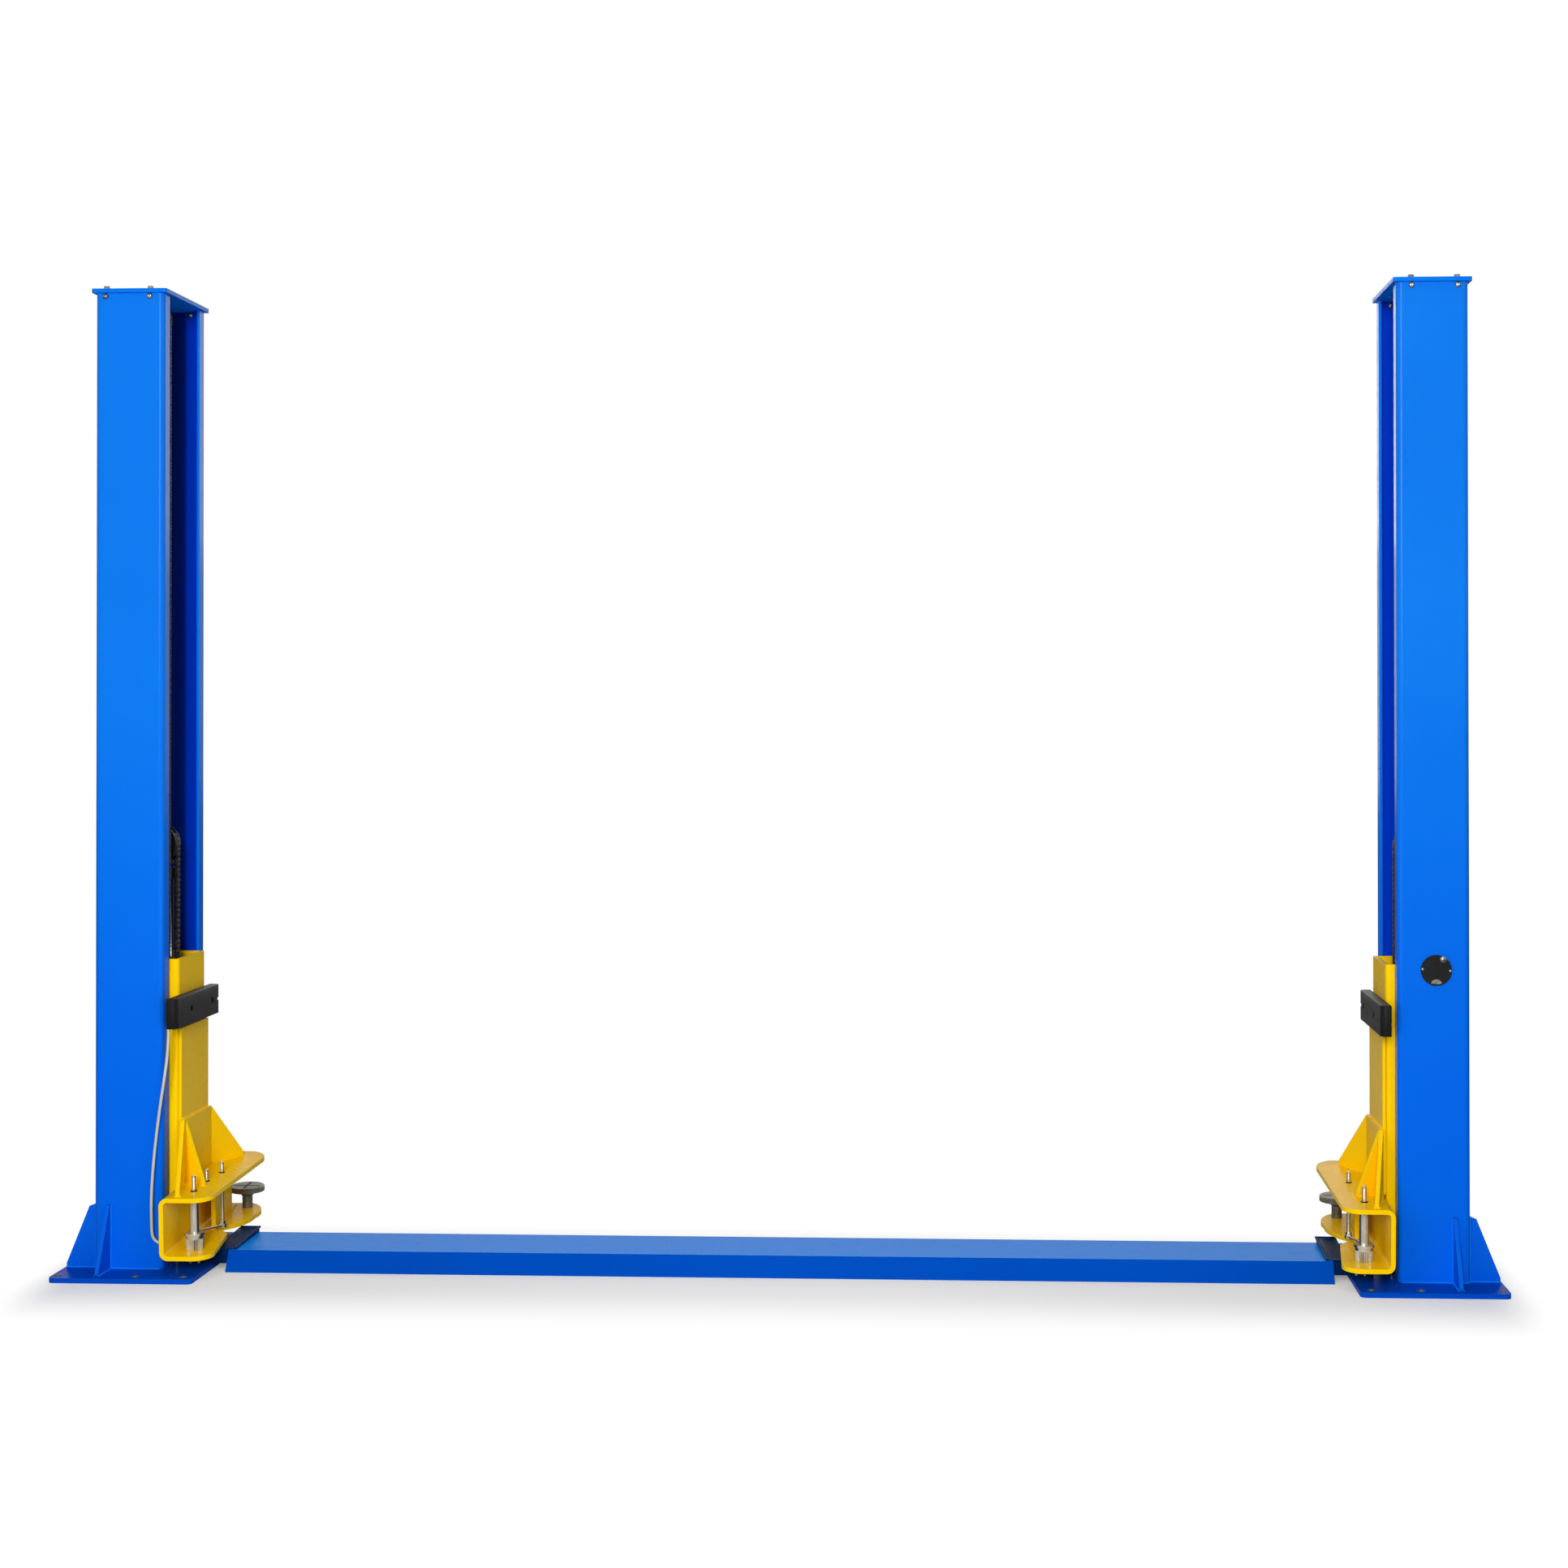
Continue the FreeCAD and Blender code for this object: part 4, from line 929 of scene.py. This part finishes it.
for a, y in ((0.088, -0.222), (0.107, -0.218)):
    under = onReceiver(a, y, receiver["bottom"])
    addHexHead(shape, under, -receiverUp, 0.0098, 0.0055, 0.3)
    addThread(shape, under, -receiverUp, 0.0036, 0.005, 0.0105)
addPair("flange_screws", shape, "plainSteel", "carriage")
shape = bmesh.new()
fixed = onReceiver(0.082, -0.070, receiver["top"])
addThread(shape, fixed, receiverUp, 0.0050, -0.002, 0.025)
addLathe(shape, fixed + receiverUp * 0.025, receiverUp, [
    (0.0047, 0), (0.0050, 0.001), (0.0045, 0.0035), (0.0025, 0.005), (0, 0.0053)], 20)
finishMesh("left_fixed_stud", shape, "turnedSteel", "left_carriage")
shape = bmesh.new()
addLathe(shape, fixed, receiverUp, [
    (0.0055, 0), (0.0084, 0), (0.0088, 0.0005), (0.0080, 0.0013), (0.0065, 0.0019),
    (0.0055, 0.0021), (0.0055, 0)], 28)
finishMesh("left_fixed_stud_seal", shape, "guardRubber", "left_carriage")
print("carriage fittings made")

# rubber pads between the ends of the floor cover and the posts, thicker at the back; their dark
# blue is painted shade from the receiver above
pad = {"near": 0.112, "far": 0.160, "front": -0.100, "back": 0.106, "foot": 0.0485,
       "frontTop": 0.0505, "backTop": 0.0605, "bead": 0.0035}
shape = bmesh.new()
near, far, front, back = pad["near"], pad["far"], pad["front"], pad["back"]
outline = [(front, pad["foot"]), (back, pad["foot"]), (back, pad["backTop"]),
           (back - 0.006, pad["backTop"] + 0.001), (front, pad["frontTop"])]
addPrism(shape, outline, alongX, inward(near), inward(far), 0.0008)
for start, end, count in (
        (place(far, front, pad["frontTop"]), place(far, back, pad["backTop"]), 8),
        (place(near, back, pad["backTop"] - 0.001), place(far, back, pad["backTop"] - 0.001), 6)):
    addTube(shape, linePoints(start, end, count), pad["bead"], 12)
addPair("cover_pads", shape, "paintedShadeBlue", "frame")

# inspection cover on the right post: rim screws, one large bolt and the lens at its foot
cover = {"x": 1.579, "y": -0.165, "z": 0.753, "bolt": (0.016, 0.026),
         "screws": ((-0.0325, 0.003), (0.0325, -0.001))}


def onCover(x, z, proud=0.0):
    return Vector((cover["x"] + x, cover["y"] - proud, cover["z"] + z))


shape = bmesh.new()
facing = (0, -1, 0)
addWasher(shape, onCover(*cover["bolt"]), facing, 0.0078, 0.003, 0.0012)
addHexHead(shape, onCover(*cover["bolt"], 0.0012), facing, 0.0115, 0.004, 0.2)
for spot in cover["screws"]:
    addButtonHead(shape, onCover(*spot), facing, 0.0034, 0.0022)
lens = [(0.0140 * math.cos(a), -0.0315 + 0.0140 * math.sin(a) - 0.0035)
        for a in [math.radians(28 + 124 * i / 12) for i in range(13)]]
lens += [(0.0330 * math.cos(a), 0.0330 * math.sin(a))
         for a in [math.radians(-112 + 44 * i / 8) for i in range(9)]]
wall = Matrix(((1, 0, 0, cover["x"]), (0, 0, -1, cover["y"]), (0, 1, 0, cover["z"]), (0, 0, 0, 1)))
addPrism(shape, lens, wall, -0.0005, 0.0009, 0.0003)
finishMesh("inspection_screws", shape, "plainSteel", "frame")

# floor: a pale plane that keeps the soft shadow near the lift and turns white further off
stage = {"size": 30, "paint": (0.80, 0.80, 0.80, 1), "glow": 0.22, "middle": (0, -0.10, 0),
         "footprint": (1.66, 0.12, 0.0), "falloff": (3.0, 1, 1), "whiteFrom": 0.03,
         "whiteTo": 0.44}
floorShape = bmesh.new()
bmesh.ops.create_grid(floorShape, x_segments=1, y_segments=1, size=stage["size"])
floorMesh = bpy.data.meshes.new("floor")
floorShape.to_mesh(floorMesh)
floorShape.free()
floor = bpy.data.objects.new("floor", floorMesh)
scene.collection.objects.link(floor)
material, tree = blankMaterial("paleFloor")
floorMesh.materials.append(material)
matt = addNode(tree, "ShaderNodeBsdfDiffuse", {"Color": stage["paint"]}).outputs[0]
glow = addNode(tree, "ShaderNodeEmission", {"Strength": stage["glow"]}).outputs[0]
near = addNode(tree, "ShaderNodeAddShader", {0: matt, 1: glow}).outputs[0]
white = addNode(tree, "ShaderNodeEmission", {"Strength": 1.0}).outputs[0]
spot = addNode(tree, "ShaderNodeTexCoord").outputs["Object"]
for operation, value in (("SUBTRACT", stage["middle"]), ("ABSOLUTE", (0, 0, 0)),
                         ("SUBTRACT", stage["footprint"]), ("MAXIMUM", (0, 0, 0)),
                         ("MULTIPLY", stage["falloff"])):
    spot = addVectorMath(tree, operation, spot, value)
distance = addVectorMath(tree, "LENGTH", spot, output="Value")
fade = mapRange(tree, distance, stage["whiteFrom"], stage["whiteTo"], kind="SMOOTHSTEP")
seenFloor = addNode(tree, "ShaderNodeMixShader", {0: fade, 1: near, 2: white}).outputs[0]
rays = addNode(tree, "ShaderNodeLightPath").outputs
choose = addNode(tree, "ShaderNodeMixShader", {0: rays["Is Camera Ray"], 1: matt, 2: seenFloor})
addNode(tree, "ShaderNodeOutputMaterial", {"Surface": choose.outputs[0]})

studio = {"sky": 0.10, "lamps": [
    # name, place, aim, width, height, power
    ("keyLamp", (-0.2, -9.5, 3.2), (0.0, 0.0, 1.1), 2.4, 2.4, 640),
    ("topLamp", (0.0, -1.6, 5.4), (0.0, 0.0, 0.0), 4.0, 2.4, 45),
    ("backLamp", (0.0, 5.0, 3.2), (0.0, 0.0, 1.2), 5.0, 2.4, 50),
    ("leftFill", (-0.35, -1.3, 0.75), (-1.45, 0.0, 0.50), 0.8, 0.5, 4.5),
    ("rightFill", (0.35, -1.3, 0.75), (1.45, 0.0, 0.50), 0.8, 0.5, 4.5),
]}
world = bpy.data.worlds.new("studio")
scene.world = world
world.use_nodes = True
tree = world.node_tree
tree.nodes.clear()
soft, white = [addNode(tree, "ShaderNodeBackground", {
    "Color": (1, 1, 1, 1), "Strength": strength}).outputs[0] for strength in (studio["sky"], 1.0)]
rays = addNode(tree, "ShaderNodeLightPath").outputs
seen = rays["Is Camera Ray"]
for kind in ("Is Glossy Ray", "Is Transmission Ray"):
    seen = addMath(tree, "MAXIMUM", seen, rays[kind])
choose = addNode(tree, "ShaderNodeMixShader", {0: seen, 1: soft, 2: white})
addNode(tree, "ShaderNodeOutputWorld", {"Surface": choose.outputs[0]})
for name, spot, aim, width, height, power in studio["lamps"]:
    data = bpy.data.lights.new(name, "AREA")
    data.shape = "RECTANGLE"
    data.size, data.size_y = width, height
    data.energy = power
    lamp = bpy.data.objects.new(name, data)
    lamp.location = spot
    lamp.rotation_euler = (Vector(aim) - Vector(spot)).to_track_quat("-Z", "Y").to_euler()
    scene.collection.objects.link(lamp)
print("studio lit")
